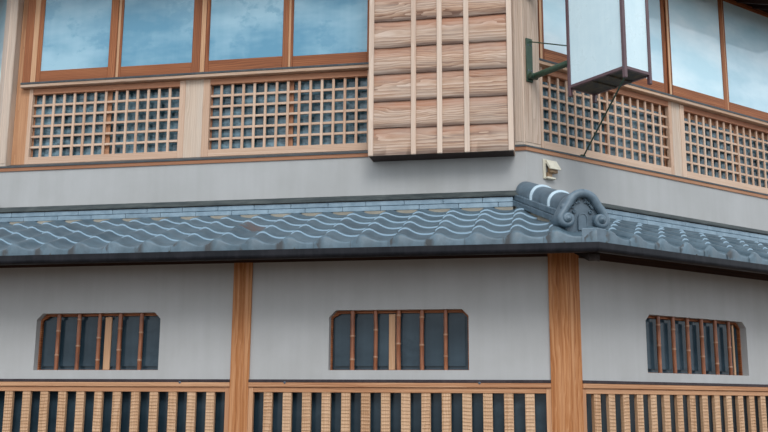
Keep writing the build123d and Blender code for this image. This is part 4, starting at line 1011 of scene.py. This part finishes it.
def gutter_seams():
    """Lapped joints along the gutters and at their mitres, with clips on the rim."""
    piece = Piece("gutter_joints", "gutter_seam", "gutter", smooth=30)
    radius, centre, top, lip = 0.0348, 0.555, 2.665, 0.04
    arc = [(-radius * cos(pi * k / 10), -radius * sin(pi * k / 10)) for k in range(1, 10)]
    cup = [(-radius, lip), (-radius, 0.0), *arc, (radius, 0.0), (radius, lip)]
    for side, at in WALLS.items():
        for s in (-1.15, 1.58) if side == "front" else (0.62, 2.35, 4.1):
            piece.grid([[at(s + shift, -centre - x, top + z) for x, z in cup] for shift in (-0.006, 0.006)],
                       tint=0.5)
        first, last = ends(side, -0.58)
        for k in range(ceil((first + 1.20) / 1.05), int((last + 1.20) / 1.05) + 1):
            s = 1.05 * k - 1.20
            piece.box(at, (s - 0.007, -0.589, 2.700), (s + 0.007, -0.575, 2.716), 0.003, 0)
    for side, sign in (("right", 1), ("left", -1)):
        corners = [eave_point({s: centre + x for s in STREET}, top + z, 0, "front", side) for x, z in cup]
        for along, shift in (("front", -0.005 * sign), (side, 0.005 * sign)):
            step = SIDES[along].right * shift
            piece.grid([corners, [corner + step for corner in corners]], tint=0.5)


def eave_rafters():
    """Rafter tails under the main eaves on the street sides."""
    piece = Piece("main_eave_rafters", "dark_board", "dark_timber")
    for side in STREET:
        slope = Slope(side, MAIN_EDGE, MAIN_DECK_TOP - 0.09, MAIN_PITCH)
        u0, u1 = slope.span()
        count = round((u1 - u0) / 0.303)
        for i in range(1, count):
            u = u0 + (u1 - u0) * i / count
            if outside(slope.at(u, 0.62, 0), slope.planes(), -0.03):
                continue
            piece.box(slope.at, (u - 0.022, 0.03, -0.055), (u + 0.022, 0.62, 0.0), 0.003, 1)


pent_roof()
main_roof()
hip_ridges()
main_ridges()
wall_courses()
corner_blocks()
gutter_seams()
eave_rafters()


# Upper storey
def band_caps():
    """Brown boards over the plaster band, under a sheet-metal cover."""
    board = Piece("band_boards", "brown_board", "cedar_boards", "band_caps")
    cover = Piece("band_flashing", "flashing", "cedar_boards", "band_caps")
    section = [(0.772, 3.827), (0.772, 3.842), (0.912, 3.893), (0.912, 3.885), (0.80, 3.839), (0.80, 3.827)]
    for side in STREET:
        moulding(board, side, [(0.778, 3.792), (0.778, 3.829), (0.81, 3.829), (0.81, 3.792)])
        moulding(cover, side, section)


FRONT_FRAMES = (((-2.431, -0.706), (-2.392, -0.765)), ((-0.516, 1.236), (-0.446, 1.170)))
WING_FRAMES = (((0.638, 2.560), (0.670, 2.515)), ((2.700, 4.761), (2.765, 4.695)))


def fine_lattices():
    """Square-celled lattices, with the low sashes and glass that show through them."""
    sashes = Piece("low_sashes", "brown_board", "sash_timber")
    panes = Piece("low_panes", "shaded_glass", "glass", "upper_glass")
    low, high = BAND_TOP, SILL_TOP - 0.055
    face, back = SETBACK - 0.006, SETBACK + 0.045
    tall = (high - low - 0.137) / 6
    for side, at in WALLS.items():
        piece = Piece(f"lattice_bars_{side}", "pale_timber", "pale_timber", f"fine_lattice_{side}")
        head = Piece(f"shaded_lattice_head_{side}", "shaded_lattice_head", "pale_timber", f"fine_lattice_{side}")
        top = 0.052 if side == "front" else 0.115
        for (start, end), (left, right) in FRONT_FRAMES if side == "front" else WING_FRAMES:
            stiles = (left - start + 0.003, end - right + 0.003)
            frame_panel(piece, at, (start, end), (face, back), low, high, stiles, 0.075, 0.0)
            # the head under the sill takes the darker timber: partly its own colour, partly painted shade
            head.box(at, (left, face + 0.004, high - 0.062), (right, back, high), 0.003, 0)
            columns = round((right - left) / 0.118)
            for i in range(1, columns):
                x = left + i * ((right - left) / columns)
                bar = (x - 0.013, face + 0.021, low + 0.07), (x + 0.013, face + 0.038, high - 0.055)
                piece.box(at, *bar, 0.002, 2)
            for i in range(1, 6):
                z = low + 0.075 + i * tall
                bar = (left - 0.005, face + 0.026, z - 0.012), (right + 0.005, face + 0.046, z + 0.012)
                piece.box(at, *bar, 0.002, 0)
            middle = (left + right) / 2
            for x0, x1, d in ((left - 0.05, middle + 0.05, SETBACK + 0.052),
                              (middle - 0.05, right + 0.05, SETBACK + 0.070)):
                frame_panel(sashes, at, (x0, x1), (d, d + 0.016), low, high, 0.065, 0.05, top)
                pane = (x0 + 0.05, d + 0.006, low + 0.045), (x1 - 0.05, d + 0.010, high - top + 0.01)
                panes.box(at, *pane, 0.0005, 0, rng.uniform(0.2, 0.5))


def upper_posts():
    """Posts between the lattices and beside the openings."""
    pale = Piece("upper_post_timbers", "carried_weathered", "weathered_timber", "upper_wall_posts")
    brown = Piece("upper_jamb_timbers", "rail_timber", "weathered_timber", "upper_wall_posts")
    for side in STREET:
        front = ((-UPPER_FRONT_END, -2.425), (-0.712, -0.510), (1.230, 1.290))
        wing = ((WING_JAMB, 0.645), (2.554, 2.706), (4.750, WING_END))
        for k, (start, end) in enumerate(front if side == "front" else wing):
            post = brown if k == 0 else pale
            post.box(WALLS[side], (start, 0.9105, BAND_TOP), (end, 1.03, WINDOW_HEAD), 0.004, 2)


def upper_sills():
    """Weathered sill with a sheet-metal cover along its top edge."""
    piece = Piece("upper_sill_boards", "sill_timber", "weathered_timber", "upper_sills")
    cover = Piece("upper_sill_flashing", "flashing", "weathered_timber", "upper_sills")
    for side, at in WALLS.items():
        start, end = (-2.505, 1.22) if side == "front" else (WING_JAMB, WING_END)
        piece.box(at, (start, 0.846, 4.701), (end, SETBACK, 4.742), 0.004, 0)
        for (a, b), _ in FRONT_FRAMES if side == "front" else WING_FRAMES:
            piece.box(at, (a, SETBACK, 4.701), (b, SETBACK + 0.10, 4.742), 0.003, 0)
        cover.box(at, (start, 0.841, 4.733), (end, 0.90, 4.7545), 0.002, 0)


# a pane tint over 0.65 paints a reflection of bright clouds, as on every wing pane
FRONT_SASHES = (  # start, end, widths of the two stiles, and the pane's tint
    (-2.415, -1.468, (0.110, 0.082), 0.60), (-1.472, -0.548, (0.055, 0.100), 0.52),
    (-0.552, 0.366, (0.093, 0.056), 0.50), (0.360, 1.22, (0.054, 0.054), 0.05),
)
WING_SASHES = (
    (0.61, 1.504, (0.060, 0.060), 0.95), (1.50, 2.504, (0.060, 0.060), 0.90),
    (2.50, 3.504, (0.060, 0.060), 0.98), (3.50, 4.504, (0.060, 0.060), 0.85),
)


def upper_sashes():
    """Glazed sliding sashes on the sill, on two tracks, with a pale edge on each left stile."""
    piece = Piece("upper_sash_frames", "sash_timber", "sash_timber", "upper_sashes")
    edges = Piece("upper_sash_edges", "sash_edge", "sash_timber", "upper_sashes")
    panes = Piece("upper_panes", "upper_glass", "glass", "upper_glass")
    track = 0.866
    for side, at in WALLS.items():
        start, end = (-2.505, -2.411) if side == "front" else (4.50, 4.745)
        piece.box(at, (start, track, SILL_TOP), (end, 0.90, SASH_HEAD), 0.003, 2)
        for k, (start, end, stiles, tint) in enumerate(FRONT_SASHES if side == "front" else WING_SASHES):
            d = track + 0.018 * (k % 2)
            frame_panel(piece, at, (start, end), (d, d + 0.017), SILL_TOP, SASH_HEAD,
                        stiles, 0.125, 0.06, 0.004)
            edge_end = start + 0.55 * stiles[0]
            edge = (start + 0.004, d - 0.002, SILL_TOP + 0.001), (edge_end, d + 0.002, SASH_HEAD)
            edges.box(at, *edge, 0.001, 2)
            tilt = rng.uniform(-0.002, 0.002)
            corners = [(start + 0.04, d + 0.010), (end - 0.04, d + 0.010 + tilt)]
            levels = ((SILL_TOP + 0.11, 0.0), (SASH_HEAD - 0.05, 0.3 * tilt))
            panes.grid([[at(s, y + lean, z) for s, y in corners] for z, lean in levels], tint=tint)


BOX_FOOT, BOX_FACE, BOX_START, BOARD_PITCH = 3.742, 0.592, 1.25, 0.2614
BATTENS = ((1.25, 1.298), (1.650, 1.698), (1.892, 1.940), (2.142, 2.190), (2.537, 2.585))
BOARD_SECTION = (  # part of the way up the board, and how far out from its face
    (-0.002, 0.0), (0.0, 0.015), (0.015, 0.018), (0.5, 0.010), (1.0, 0.002),
)


def lapped_board(piece, k, low, high, columns=54):
    """One board of the shutter box, with a worn wavy lower edge; its tint runs from there to its top."""
    at = WALLS["front"]
    start, length = BOX_START + 0.004, UPPER_FRONT_END - BOX_START - 0.008
    shift = Vector((rng.uniform(0, 40), rng.uniform(-0.2, 0.2), rng.uniform(0.02, 0.06)))
    rows, grain, tint = [], [], []
    for part, out in BOARD_SECTION:
        rows.append([])
        grain.append([])
        for i in range(columns + 1):
            s = start + length * i / columns
            wear = 0.007 * noise.noise((s * 3.0, k * 7.7, 0)) + 0.003 * noise.noise((s * 11.0, k * 3.1, 2.0))
            z = low + (high - low) * part + wear * (1 - part)
            z = min(z, BOX_HEAD - 0.002) if k else min(max(z, BOX_FOOT), BOX_HEAD)
            rows[-1].append(at(s, BOX_FACE - out, z))
            grain[-1].append(shift + Vector((s, z - low, 0.02 * (1 - part))))
            tint.append(max(part, 0.0))
    piece.grid(rows, grain, tint)


def shutter_box():
    """Case for the rain shutters: lapped boards under pale battens, with a dark underside."""
    boards = Piece("shutter_box_boards", "box_board", "cedar_boards", "shutter_box", smooth=50)
    battens = Piece("shutter_box_battens", "batten_timber", "cedar_boards", "shutter_box")
    floor = Piece("shutter_box_floor", "dark_board", "cedar_boards", "shutter_box")
    at = WALLS["front"]
    x0, x1 = BOX_START, UPPER_FRONT_END
    laps = [BOX_FOOT + BOARD_PITCH * k for k in range(9)] + [BOX_HEAD + 0.03]
    for k, (low, high) in enumerate(zip(laps, laps[1:])):
        lapped_board(boards, k, low, high)
    for a, b in ((x0, x0 + 0.02), (x1 - 0.02, x1)):
        boards.box(at, (a, 0.585, BOX_FOOT), (b, SETBACK, BOX_HEAD), 0.003, 2, 0.5)
    boards.box(at, (x0, BOX_FACE, BOX_HEAD - 0.02), (x1, SETBACK, BOX_HEAD), 0.003, 0, 0.5)
    floor.box(at, (x0 + 0.006, 0.586, 3.7405), (x1 - 0.006, 0.79, 3.760), 0.003, 0)
    for a, b in BATTENS:
        battens.box(at, (a, 0.563, 3.741), (b, BOX_FACE, BOX_HEAD), 0.004, 2)


def corner_boards():
    """Cover boards on the two faces of each upper corner, with a pale round rod at the arris standing in for
    its highlight.
    """
    pink = Piece("corner_boards_front", "pink_board", "weathered_timber")
    brown = Piece("corner_boards_wing", "pink_board", "weathered_timber")
    highlight_bead_and_jamb = Piece("corner_highlight_beads_and_jambs", "batten_timber", "weathered_timber")
    front = WALLS["front"]
    for side in ("right", "left"):
        at = WALLS[side]
        sign = 1 if side == "right" else -1

        def flipped(s, d, z, sign=sign):
            return front(sign * s, d, z)

        pink.box(flipped, (2.590, 0.8155, BAND_TOP - 0.005), (2.655, 0.822, WINDOW_HEAD), 0.002, 2)
        brown.box(at, (0.353, 0.8155, BAND_TOP - 0.005), (0.440, 0.822, WINDOW_HEAD), 0.002, 2)
        brown.box(at, (0.443, 0.8155, BAND_TOP - 0.005), (0.549, 0.822, WINDOW_HEAD), 0.002, 2)
        # painted highlight: a pale rod at the arris, lighter by its tint of 0.9; the strip below it is a
        # pale jamb
        tube(highlight_bead_and_jamb, [at(TURN * 0.8265, 0.8265, z) for z in (BAND_TOP - 0.01, WINDOW_HEAD)], 0.010, 10, 0.9)
        highlight_bead_and_jamb.box(at, (0.551, 0.903, BAND_TOP), (0.612, 0.912, WINDOW_HEAD), 0.002, 2)


band_caps()
fine_lattices()
upper_posts()
upper_sills()
upper_sashes()
shutter_box()
corner_boards()


# Lower storey
BAYS = {
    "front": ((CORNER_FACE - HALF_FRONT, FRONT_POST[0]), (FRONT_POST[1], HALF_FRONT - CORNER_FACE)),
    "right": ((CORNER_FACE, WING_POST[0]),),
    "left": ((CORNER_FACE, WING_POST[0]), (WING_POST[1], END_POST)),
}


def adzed_bar(piece, at, x0, x1, d0, d1, low, high):
    """Upright bar with a scooped face, as an adze leaves it."""
    pitch, across = 0.028, x1 - x0
    tilt = rng.uniform(-0.006, 0.006)
    shift = Vector((rng.uniform(0, 40), rng.uniform(-0.1, 0.1), 0.05))
    own = rng.random() * 0.8
    rows, grain, tint = [], [], []
    for k in range(ceil((high - low) / pitch)):
        jump = rng.uniform(-0.006, 0.006)
        for part, deep in ((0.0, 0.0), (0.3, 0.0035), (0.7, 0.0040)):
            z = low + (k + part) * pitch + (jump if part else 0.0)
            z = min(max(z, low), high)
            edge = 0.15 * deep
            section = ((x0, d1), (x0 + edge, d0 + 0.004), (x0 + 0.006, d0 + deep),
                       (x0 + across / 2, d0 + 1.15 * deep),
                       (x1 - 0.006, d0 + deep), (x1 - edge, d0 + 0.004), (x1, d1))
            rows.append([at(x, d, z + tilt * (x - x0) / across) for x, d in section])
            grain.append([shift + Vector((z, x - x0, d - d0)) for x, d in section])
            tint += [own + (0.0 if deep else 0.1)] * len(section)
    piece.grid(rows, grain, tint)


def waist():
    """Rails over the lattices with bolts in the front one, and the adzed bars in their frames."""
    rails = Piece("waist_rail_timbers", "rail_timber", "post_timber", "waist_rails")
    strips = Piece("waist_rail_strips", "rail_strip", "post_timber", "waist_rails")
    bolts = Piece("rail_bolts", "iron", "bracket_metal", smooth=40)
    front_face, half_bar = -0.012, 0.0375
    low, high = GROUND_SILL_TOP, RAIL_TOP - 0.066
    for side, at in WALLS.items():
        bars = Piece(f"adzed_bars_{side}", "lattice_timber", "lattice_timber", f"waist_lattice_{side}")
        for start, end in BAYS[side]:
            rail = (start, front_face, RAIL_TOP - 0.063), (end, FRAME_BACK, RAIL_TOP - 0.025)
            rails.box(at, *rail, 0.004, 0)
            strips.box(at, (start, front_face, RAIL_TOP - 0.0255), (end, 0.06, RAIL_TOP), 0.003, 0)
            rails.box(at, (start, 0.0, high), (end, 0.10, RAIL_TOP - 0.062), 0.001, 0)
            frame_panel(rails, at, (start, end), (0.002, 0.045), low, high, 0.040, 0.040, 0.040)
            length = end - start - 0.005
            count = round(length / 0.168)
            for i in range(1, count):
                x = start + 0.0025 + i * (length / count)
                adzed_bar(bars, at, x - half_bar, x + half_bar, 0.006, 0.041, low + 0.036, high - 0.036)
    door_rail = (WING_POST[1], front_face, DOOR_HEAD), (END_POST, FRAME_BACK, DOOR_HEAD + 0.066)
    rails.box(WALLS["right"], *door_rail, 0.004, 0)
    for s in (-0.245, 0.68, -2.2, 2.3):
        path = [WALLS["front"](s, d, RAIL_TOP - 0.026) for d in (-0.008, -0.016, -0.019)]
        tube(bolts, path, [0.011, 0.010, 0.004], 10, 0.5)


def window_outline(half, inset, top):
    """Outline of a barred window with its upper corners cut: places across from its middle, and up."""
    w, high, cut = half - inset, WINDOW_HEIGHT - top, WINDOW_CHAMFER
    return [(-w, inset / 3), (w, inset / 3), (w, high - cut + inset), (w - cut + inset, high),
            (inset + cut - w, high), (-w, high - cut + inset)]


def culm(piece, at, x):
    """Bamboo bar in front of a window, slightly bowed, with its nodes as raised pale rings."""
    radius = rng.uniform(0.0165, 0.0190)
    first = rng.uniform(0.06, 0.24)
    nodes = [z for z in (first, first + rng.uniform(0.17, 0.24)) if z < WINDOW_HEIGHT - 0.02]
    rings = dict.fromkeys((0.0, 0.12, 0.24, 0.36, WINDOW_HEIGHT), 0)
    for z in nodes:
        rings.update({z - 0.010: 0, z - 0.003: 1, z + 0.004: 1, z + 0.010: 0})
    heights = sorted(rings)
    bow = rng.uniform(-0.003, 0.003)
    path = [at(x + bow * sin(pi * z / WINDOW_HEIGHT), 0.060, WINDOW_SILL + z) for z in heights]
    tube(piece, path, [radius + 0.0022 * rings[z] for z in heights], 12, [0.5 + rings[z] for z in heights])


def barred_windows():
    """Sashes, panes, meeting stiles and bamboo bars in the four windows of the lower plaster."""
    sashes = Piece("window_sash_frames", "sash_timber", "sash_timber", "window_sashes")
    stiles = Piece("window_meeting_stiles", "sash_edge", "sash_timber", "window_sashes")
    panes = Piece("window_panes", "lower_glass", "glass")
    culms = Piece("bamboo_culms", "bamboo", "bamboo", "bamboo_bars", smooth=50)
    near, far, spacing = 0.086, FRAME_BACK, 0.196
    places = [("front", x, width) for x, width in FRONT_WINDOWS.items()]
    places += [(side, WING_WINDOW, WING_WINDOW_WIDTH) for side in ("right", "left")]
    for side, centre, width in places:
        at = WALLS[side]
        rims = ((0.0, 0.0), (0.014, 0.022), (0.010, 0.018))
        outer, inner, pane = [window_outline(width / 2, inset, top) for inset, top in rims]
        rows = [[at(centre + x, d, WINDOW_SILL + z) for x, z in line]
                for line, d in ((outer, near), (inner, near), (inner, far), (outer, far), (outer, near))]
        grain = [[Vector((p.x + p.y, p.z, 0.03)) for p in row] for row in rows]
        sashes.grid(rows, grain, tint=0.3, wrap=True)
        corners = [at(centre + x, 0.118, WINDOW_SILL + z) for x, z in pane]
        panes.add(corners, [list(range(len(corners)))], tint=0.4)
        left, right = MEETING_STILES.get(centre, (0.588, 0.610))
        stile = (centre + left, 0.088, WINDOW_SILL + 0.004), (centre + right, 0.106, WINDOW_SILL + 0.466)
        stiles.box(at, *stile, 0.003, 2, 0.6)
        count = round(width / spacing) - 1
        for i in range(count):
            culm(culms, at, centre + (i - (count - 1) / 2) * spacing)


def entrance():
    """A pair of sliding doors on the right side, with bars over glass and a boarded foot."""
    leaves = Piece("entrance_door_leaves", "lattice_timber", "lattice_timber", "entrance_doors")
    boards = Piece("entrance_door_boards", "brown_board", "lattice_timber", "entrance_doors")
    panes = Piece("entrance_door_panes", "lower_glass", "glass", "entrance_doors")
    pulls = Piece("entrance_door_pulls", "iron", "bracket_metal", "entrance_doors", smooth=40)
    at = WALLS["right"]
    start, end = WING_POST[1], END_POST
    middle, stile, lock, head = (start + end) / 2, 0.06, 0.62, DOOR_HEAD - 0.06
    for x0, x1, d in ((start, middle + 0.03, 0.017), (middle - 0.03, end, 0.054)):
        left, right = x0 + stile, x1 - stile
        frame_panel(leaves, at, (x0, x1), (d, d + 0.033), GROUND_SILL_TOP, DOOR_HEAD,
                    stile, 0.08, 0.06, 0.004)
        leaves.box(at, (left, d + 0.002, 0.575), (right, d + 0.033, lock), 0.003, 0)
        wide = (x1 - x0 - 2 * stile) / 5
        for i in range(5):
            boards.box(at, (left + i * wide, d + 0.010, 0.38),
                       (left - 0.002 + (i + 1) * wide, d + 0.026, 0.575), 0.003, 2)
        for i in range(1, 10):
            x = left + i * wide / 2
            leaves.box(at, (x - 0.009, d + 0.004, lock), (x + 0.009, d + 0.018, head), 0.002, 2)
        for z in (1.07, 1.53):
            leaves.box(at, (left, d + 0.012, z - 0.012), (right, d + 0.028, z + 0.012), 0.002, 0)
        pane = (left - 0.005, d + 0.022, 0.61), (right + 0.005, d + 0.026, DOOR_HEAD - 0.055)
        panes.box(at, *pane, 0.0005, 0)
        handle = x1 - 0.03 if d < 0.03 else x0 + 0.09
        for radius, out in ((0.034, 0.003), (0.026, 0.001)):
            turns = [a * pi / 8 for a in range(16)]
            ring = [at(handle + radius * cos(a), d - out, 1.05 + radius * sin(a)) for a in turns]
            pulls.add(ring, [list(range(16))], tint=0.5)


def base():
    """Ground sills on a ring of granite kerb stones around the slab."""
    sills = Piece("ground_sill_timbers", "rail_timber", "post_timber", "ground_sills")
    stones = Piece("foundation_stones", "stone", "stone", "foundation")
    gap, depth, arris = 0.002, 0.24, 0.008
    for side, at in WALLS.items():
        door = [(WING_POST[1], END_POST)] if side == "right" else []
        for start, end in [*BAYS[side], *door]:
            sills.box(at, (start, 0.0, FOUNDATION_TOP), (end, FRAME_BACK, GROUND_SILL_TOP), 0.005, 0)
        start, end = (-HALF_FRONT, HALF_FRONT) if side == "front" else (0.0, WING_LENGTH)
        count = round((end - start) / 0.85)
        for i in range(count):
            a = start + (end - start) * i / count + gap
            b = start + (end - start) * (i + 1) / count - gap
            mitre_a = TURN * depth if i == 0 else 0.0
            mitre_b = TURN * depth if i == count - 1 and side == "front" else 0.0
            rows = []
            for z, inset in ((0.0, 0.0), (0.19, 0.0), (FOUNDATION_TOP, arris)):
                rows.append([at(a + inset, inset, z), at(b - inset, inset, z),
                             at(b - mitre_b - inset, depth, z), at(a + mitre_a + inset, depth, z)])
            stones.grid(rows, wrap=True, caps=True)
    inner = {**{side: -0.23 for side in STREET}, **{side: 0.0 for side in REAR}}
    order = list(SIDES)
    corners = [eave_point(inner, 0, 0, order[k - 1], order[k]) for k in range(5)]
    rows = [[p + Vector((0, 0, z)) for p in corners] for z in (0.0, FOUNDATION_TOP - 0.002)]
    stones.grid(rows, tint=0.5, wrap=True, caps=True)


waist()
barred_windows()
entrance()
base()


# Sign and lamp on the right side
def sign():
    """Blank lantern in a metal frame, its bracket on the corner post, and the stay down to the band."""
    at = WALLS["right"]
    s0, s1, d0, d1 = 0.42, 0.76, -0.335, 0.33
    foot, low, high, bar = 4.20, 4.275, 5.60, 0.032
    posts = Piece("sign_frame_bars", "sign_metal", "sign_metal", "sign_frame")
    panels = Piece("sign_panels", "sign_panel", "sign_panel", "sign_lantern")
    plates = Piece("sign_floor_plate", "sign_floor", "sign_metal", "sign_frame")
    bracket = Piece("sign_bracket_bars", "bracket_metal", "bracket_metal", "sign_bracket", smooth=40)
    fixings = Piece("sign_fixings", "iron", "bracket_metal", "sign_bracket", smooth=40)
    stay = Piece("sign_stay_rod", "bracket_metal", "bracket_metal", "sign_stay", smooth=40)
    for s in (s0, s1 - bar):
        for d in (d0, d1 - bar):
            posts.box(at, (s, d, foot), (s + bar, d + bar, high), 0.003, 2)
    for z in (low, high - 0.028):
        for d in (d0, d1 - bar):
            posts.box(at, (s0 + bar, d + 0.001, z), (s1 - bar, d + bar - 0.001, z + 0.028), 0.002, 0)
        for s in (s0, s1 - bar):
            posts.box(at, (s + 0.001, d0 + bar, z), (s + bar - 0.001, d1 - bar, z + 0.028), 0.002, 1)

    panel_foot, panel_top, lap = low + 0.024, high - 0.024, bar - 0.004
    for s in (s0 + 0.012, s1 - 0.016):
        panels.box(at, (s, d0 + lap, panel_foot), (s + 0.004, d1 - lap, panel_top), 0.001, 2)
    for d in (d0 + 0.012, d1 - 0.016):
        panels.box(at, (s0 + lap, d, panel_foot), (s1 - lap, d + 0.004, panel_top), 0.001, 2)
    for z in (low + 0.004, high - 0.006):
        plates.box(at, (s0 + 0.010, d0 + 0.010, z), (s1 - 0.010, d1 - 0.010, z + 0.006), 0.001, 1)
    for d in (0.06, -0.12):
        plates.box(at, (s0 + 0.02, d - 0.015, low - 0.010), (s1 - 0.02, d + 0.015, low + 0.006), 0.002, 0)

    for arm in (4.52, 5.35):
        plate_foot, plate_top = arm - 0.05, arm + 0.38
        bracket.box(at, (0.374, 0.800, plate_foot), (0.452, 0.8155, plate_top), 0.003, 2)
        tube(bracket, [at(0.436, d, arm) for d in (0.812, d1 - 0.004)], 0.029, 14, 0.5)
        tube(bracket, [at(s, 0.770, arm) for s in (0.380, 0.384, 0.470)], [0.026, 0.030, 0.030], 14, 0.5)
        tube(bracket, [at(0.416, 0.806, plate_top - 0.03), at(0.436, d1 - 0.01, arm + 0.16)], 0.006, 8, 0.5)
        for height in (plate_foot + 0.03, arm + 0.06, plate_top - 0.07):
            for s in (0.392, 0.436):
                bolt = [at(s, d, height) for d in (0.803, 0.797, 0.794)]
                tube(fixings, bolt, [0.009, 0.008, 0.003], 8, 0.5)
    for z in (low + 0.014, high - 0.014):
        for d in (d0 + 0.016, d1 - 0.016):
            screw = [at(s0 + out, d, z) for out in (0.003, -0.002, -0.004)]
            tube(fixings, screw, [0.006, 0.005, 0.002], 8, 0.5)
    tube(stay, [at(s0 + 0.016, d0 + 0.016, foot + 0.01), at(1.07, 0.786, 3.845)], 0.008, 8, 0.5)
    stay.box(at, (1.04, 0.780, 3.826), (1.10, 0.800, 3.862), 0.003, 0)


def lamp():
    """Small cream lamp: a back plate, a sloping hood, and the brown lamp glass and foot below it."""
    at = WALLS["right"]
    body = Piece("lamp_hood", "lamp_shell", "lamp_shell", "lamp_box", smooth=40)
    foot = Piece("lamp_underside", "lamp_foot", "lamp_shell", "lamp_box")
    s0, s1, back = 0.532, 0.690, BAND_FACE
    body.box(at, (s0, 0.774, 3.553), (s0 + 0.030, back, 3.742), 0.003, 2)
    section = [(back, 3.738), (0.768, 3.736), (0.712, 3.655), (0.712, 3.642), (0.724, 3.640), (0.766, 3.700),
               (back, 3.706)]
    rows = [[at(s, d, z) for d, z in section] for s in (s0 + 0.024, s0 + 0.028, s1 - 0.004, s1)]
    body.grid(rows, tint=0.5, wrap=True, caps=True)
    body.box(at, (s0 + 0.020, 0.745, 3.553), (s1 - 0.030, back, 3.572), 0.003, 0)
    foot.box(at, (s0 + 0.050, 0.735, 3.612), (s1 - 0.012, 0.780, 3.668), 0.006, 0)
    foot.box(at, (s0 + 0.040, 0.762, 3.570), (s1 - 0.060, back, 3.620), 0.004, 0)


sign()
lamp()
for piece in PIECES:
    piece.finish()


# Camera, light and floor
def look(place, yaw, pitch, roll, focal_pixels):
    """The camera of the photograph, which is 768 pixels wide; yaw turns it from +Y towards +X."""
    ahead = Vector((sin(yaw) * cos(pitch), cos(yaw) * cos(pitch), sin(pitch)))
    right = Vector((cos(yaw), -sin(yaw), 0))
    up = right.cross(ahead)
    tilted = right * cos(roll) + up * sin(roll)
    raised = up * cos(roll) - right * sin(roll)
    camera = bpy.data.objects.new("camera", bpy.data.cameras.new("camera"))
    camera.matrix_world = Matrix((
        (tilted.x, raised.x, -ahead.x, place[0]),
        (tilted.y, raised.y, -ahead.y, place[1]),
        (tilted.z, raised.z, -ahead.z, place[2]),
        (0, 0, 0, 1),
    ))
    camera.data.sensor_width = 36
    camera.data.lens = 36 * focal_pixels / 768
    camera.data.clip_end = 200
    bpy.context.scene.collection.objects.link(camera)
    bpy.context.scene.camera = camera


look((2.977, FRONT_Y - 7.791, 1.539), yaw=-0.186, pitch=0.19, roll=0.006, focal_pixels=954.887)


def floor():
    """Ground that the camera sees as pale, while the light it throws up is that of brown paving."""
    mesh = bpy.data.meshes.new("floor")
    mesh.from_pydata([(-60, -60, 0), (60, -60, 0), (60, 60, 0), (-60, 60, 0)], [], [(0, 1, 2, 3)])
    s = Surface("floor", Roughness=0.9)
    pale = s.ramp(s.noise(s.position(), 0.6, 4.0), (0.3, (0.66, 0.66, 0.65)), (0.7, (0.72, 0.72, 0.71)))
    s.colour(s.mix(s.node("LightPath").outputs["Is Camera Ray"], (0.11, 0.08, 0.058), pale))
    mesh.materials.append(MATERIALS["floor"])
    obj = bpy.data.objects.new("floor", mesh)
    bpy.context.scene.collection.objects.link(obj)


def light():
    """A bluish sky, plain grey where the camera sees it, and a soft sun."""
    world = bpy.data.worlds.new("world")
    bpy.context.scene.world = world
    world.use_nodes = True
    tree = world.node_tree
    tree.nodes["Background"].inputs["Color"].default_value = (0.86, 0.93, 1.0, 1)
    tree.nodes["Background"].inputs["Strength"].default_value = 1.35
    seen = tree.nodes.new("ShaderNodeBackground")
    seen.inputs["Color"].default_value = (0.88, 0.89, 0.90, 1)
    path = tree.nodes.new("ShaderNodeLightPath")
    blend = tree.nodes.new("ShaderNodeMixShader")
    tree.links.new(path.outputs["Is Camera Ray"], blend.inputs[0])
    tree.links.new(tree.nodes["Background"].outputs[0], blend.inputs[1])
    tree.links.new(seen.outputs[0], blend.inputs[2])
    tree.links.new(blend.outputs[0], tree.nodes["World Output"].inputs[0])
    sun = bpy.data.objects.new("sun", bpy.data.lights.new("sun", "SUN"))
    sun.data.energy = 1.5
    sun.data.angle = radians(25)
    sun.rotation_euler = (radians(48), 0, radians(18))
    bpy.context.scene.collection.objects.link(sun)


floor()
light()
bpy.context.scene.view_settings.view_transform = "Standard"
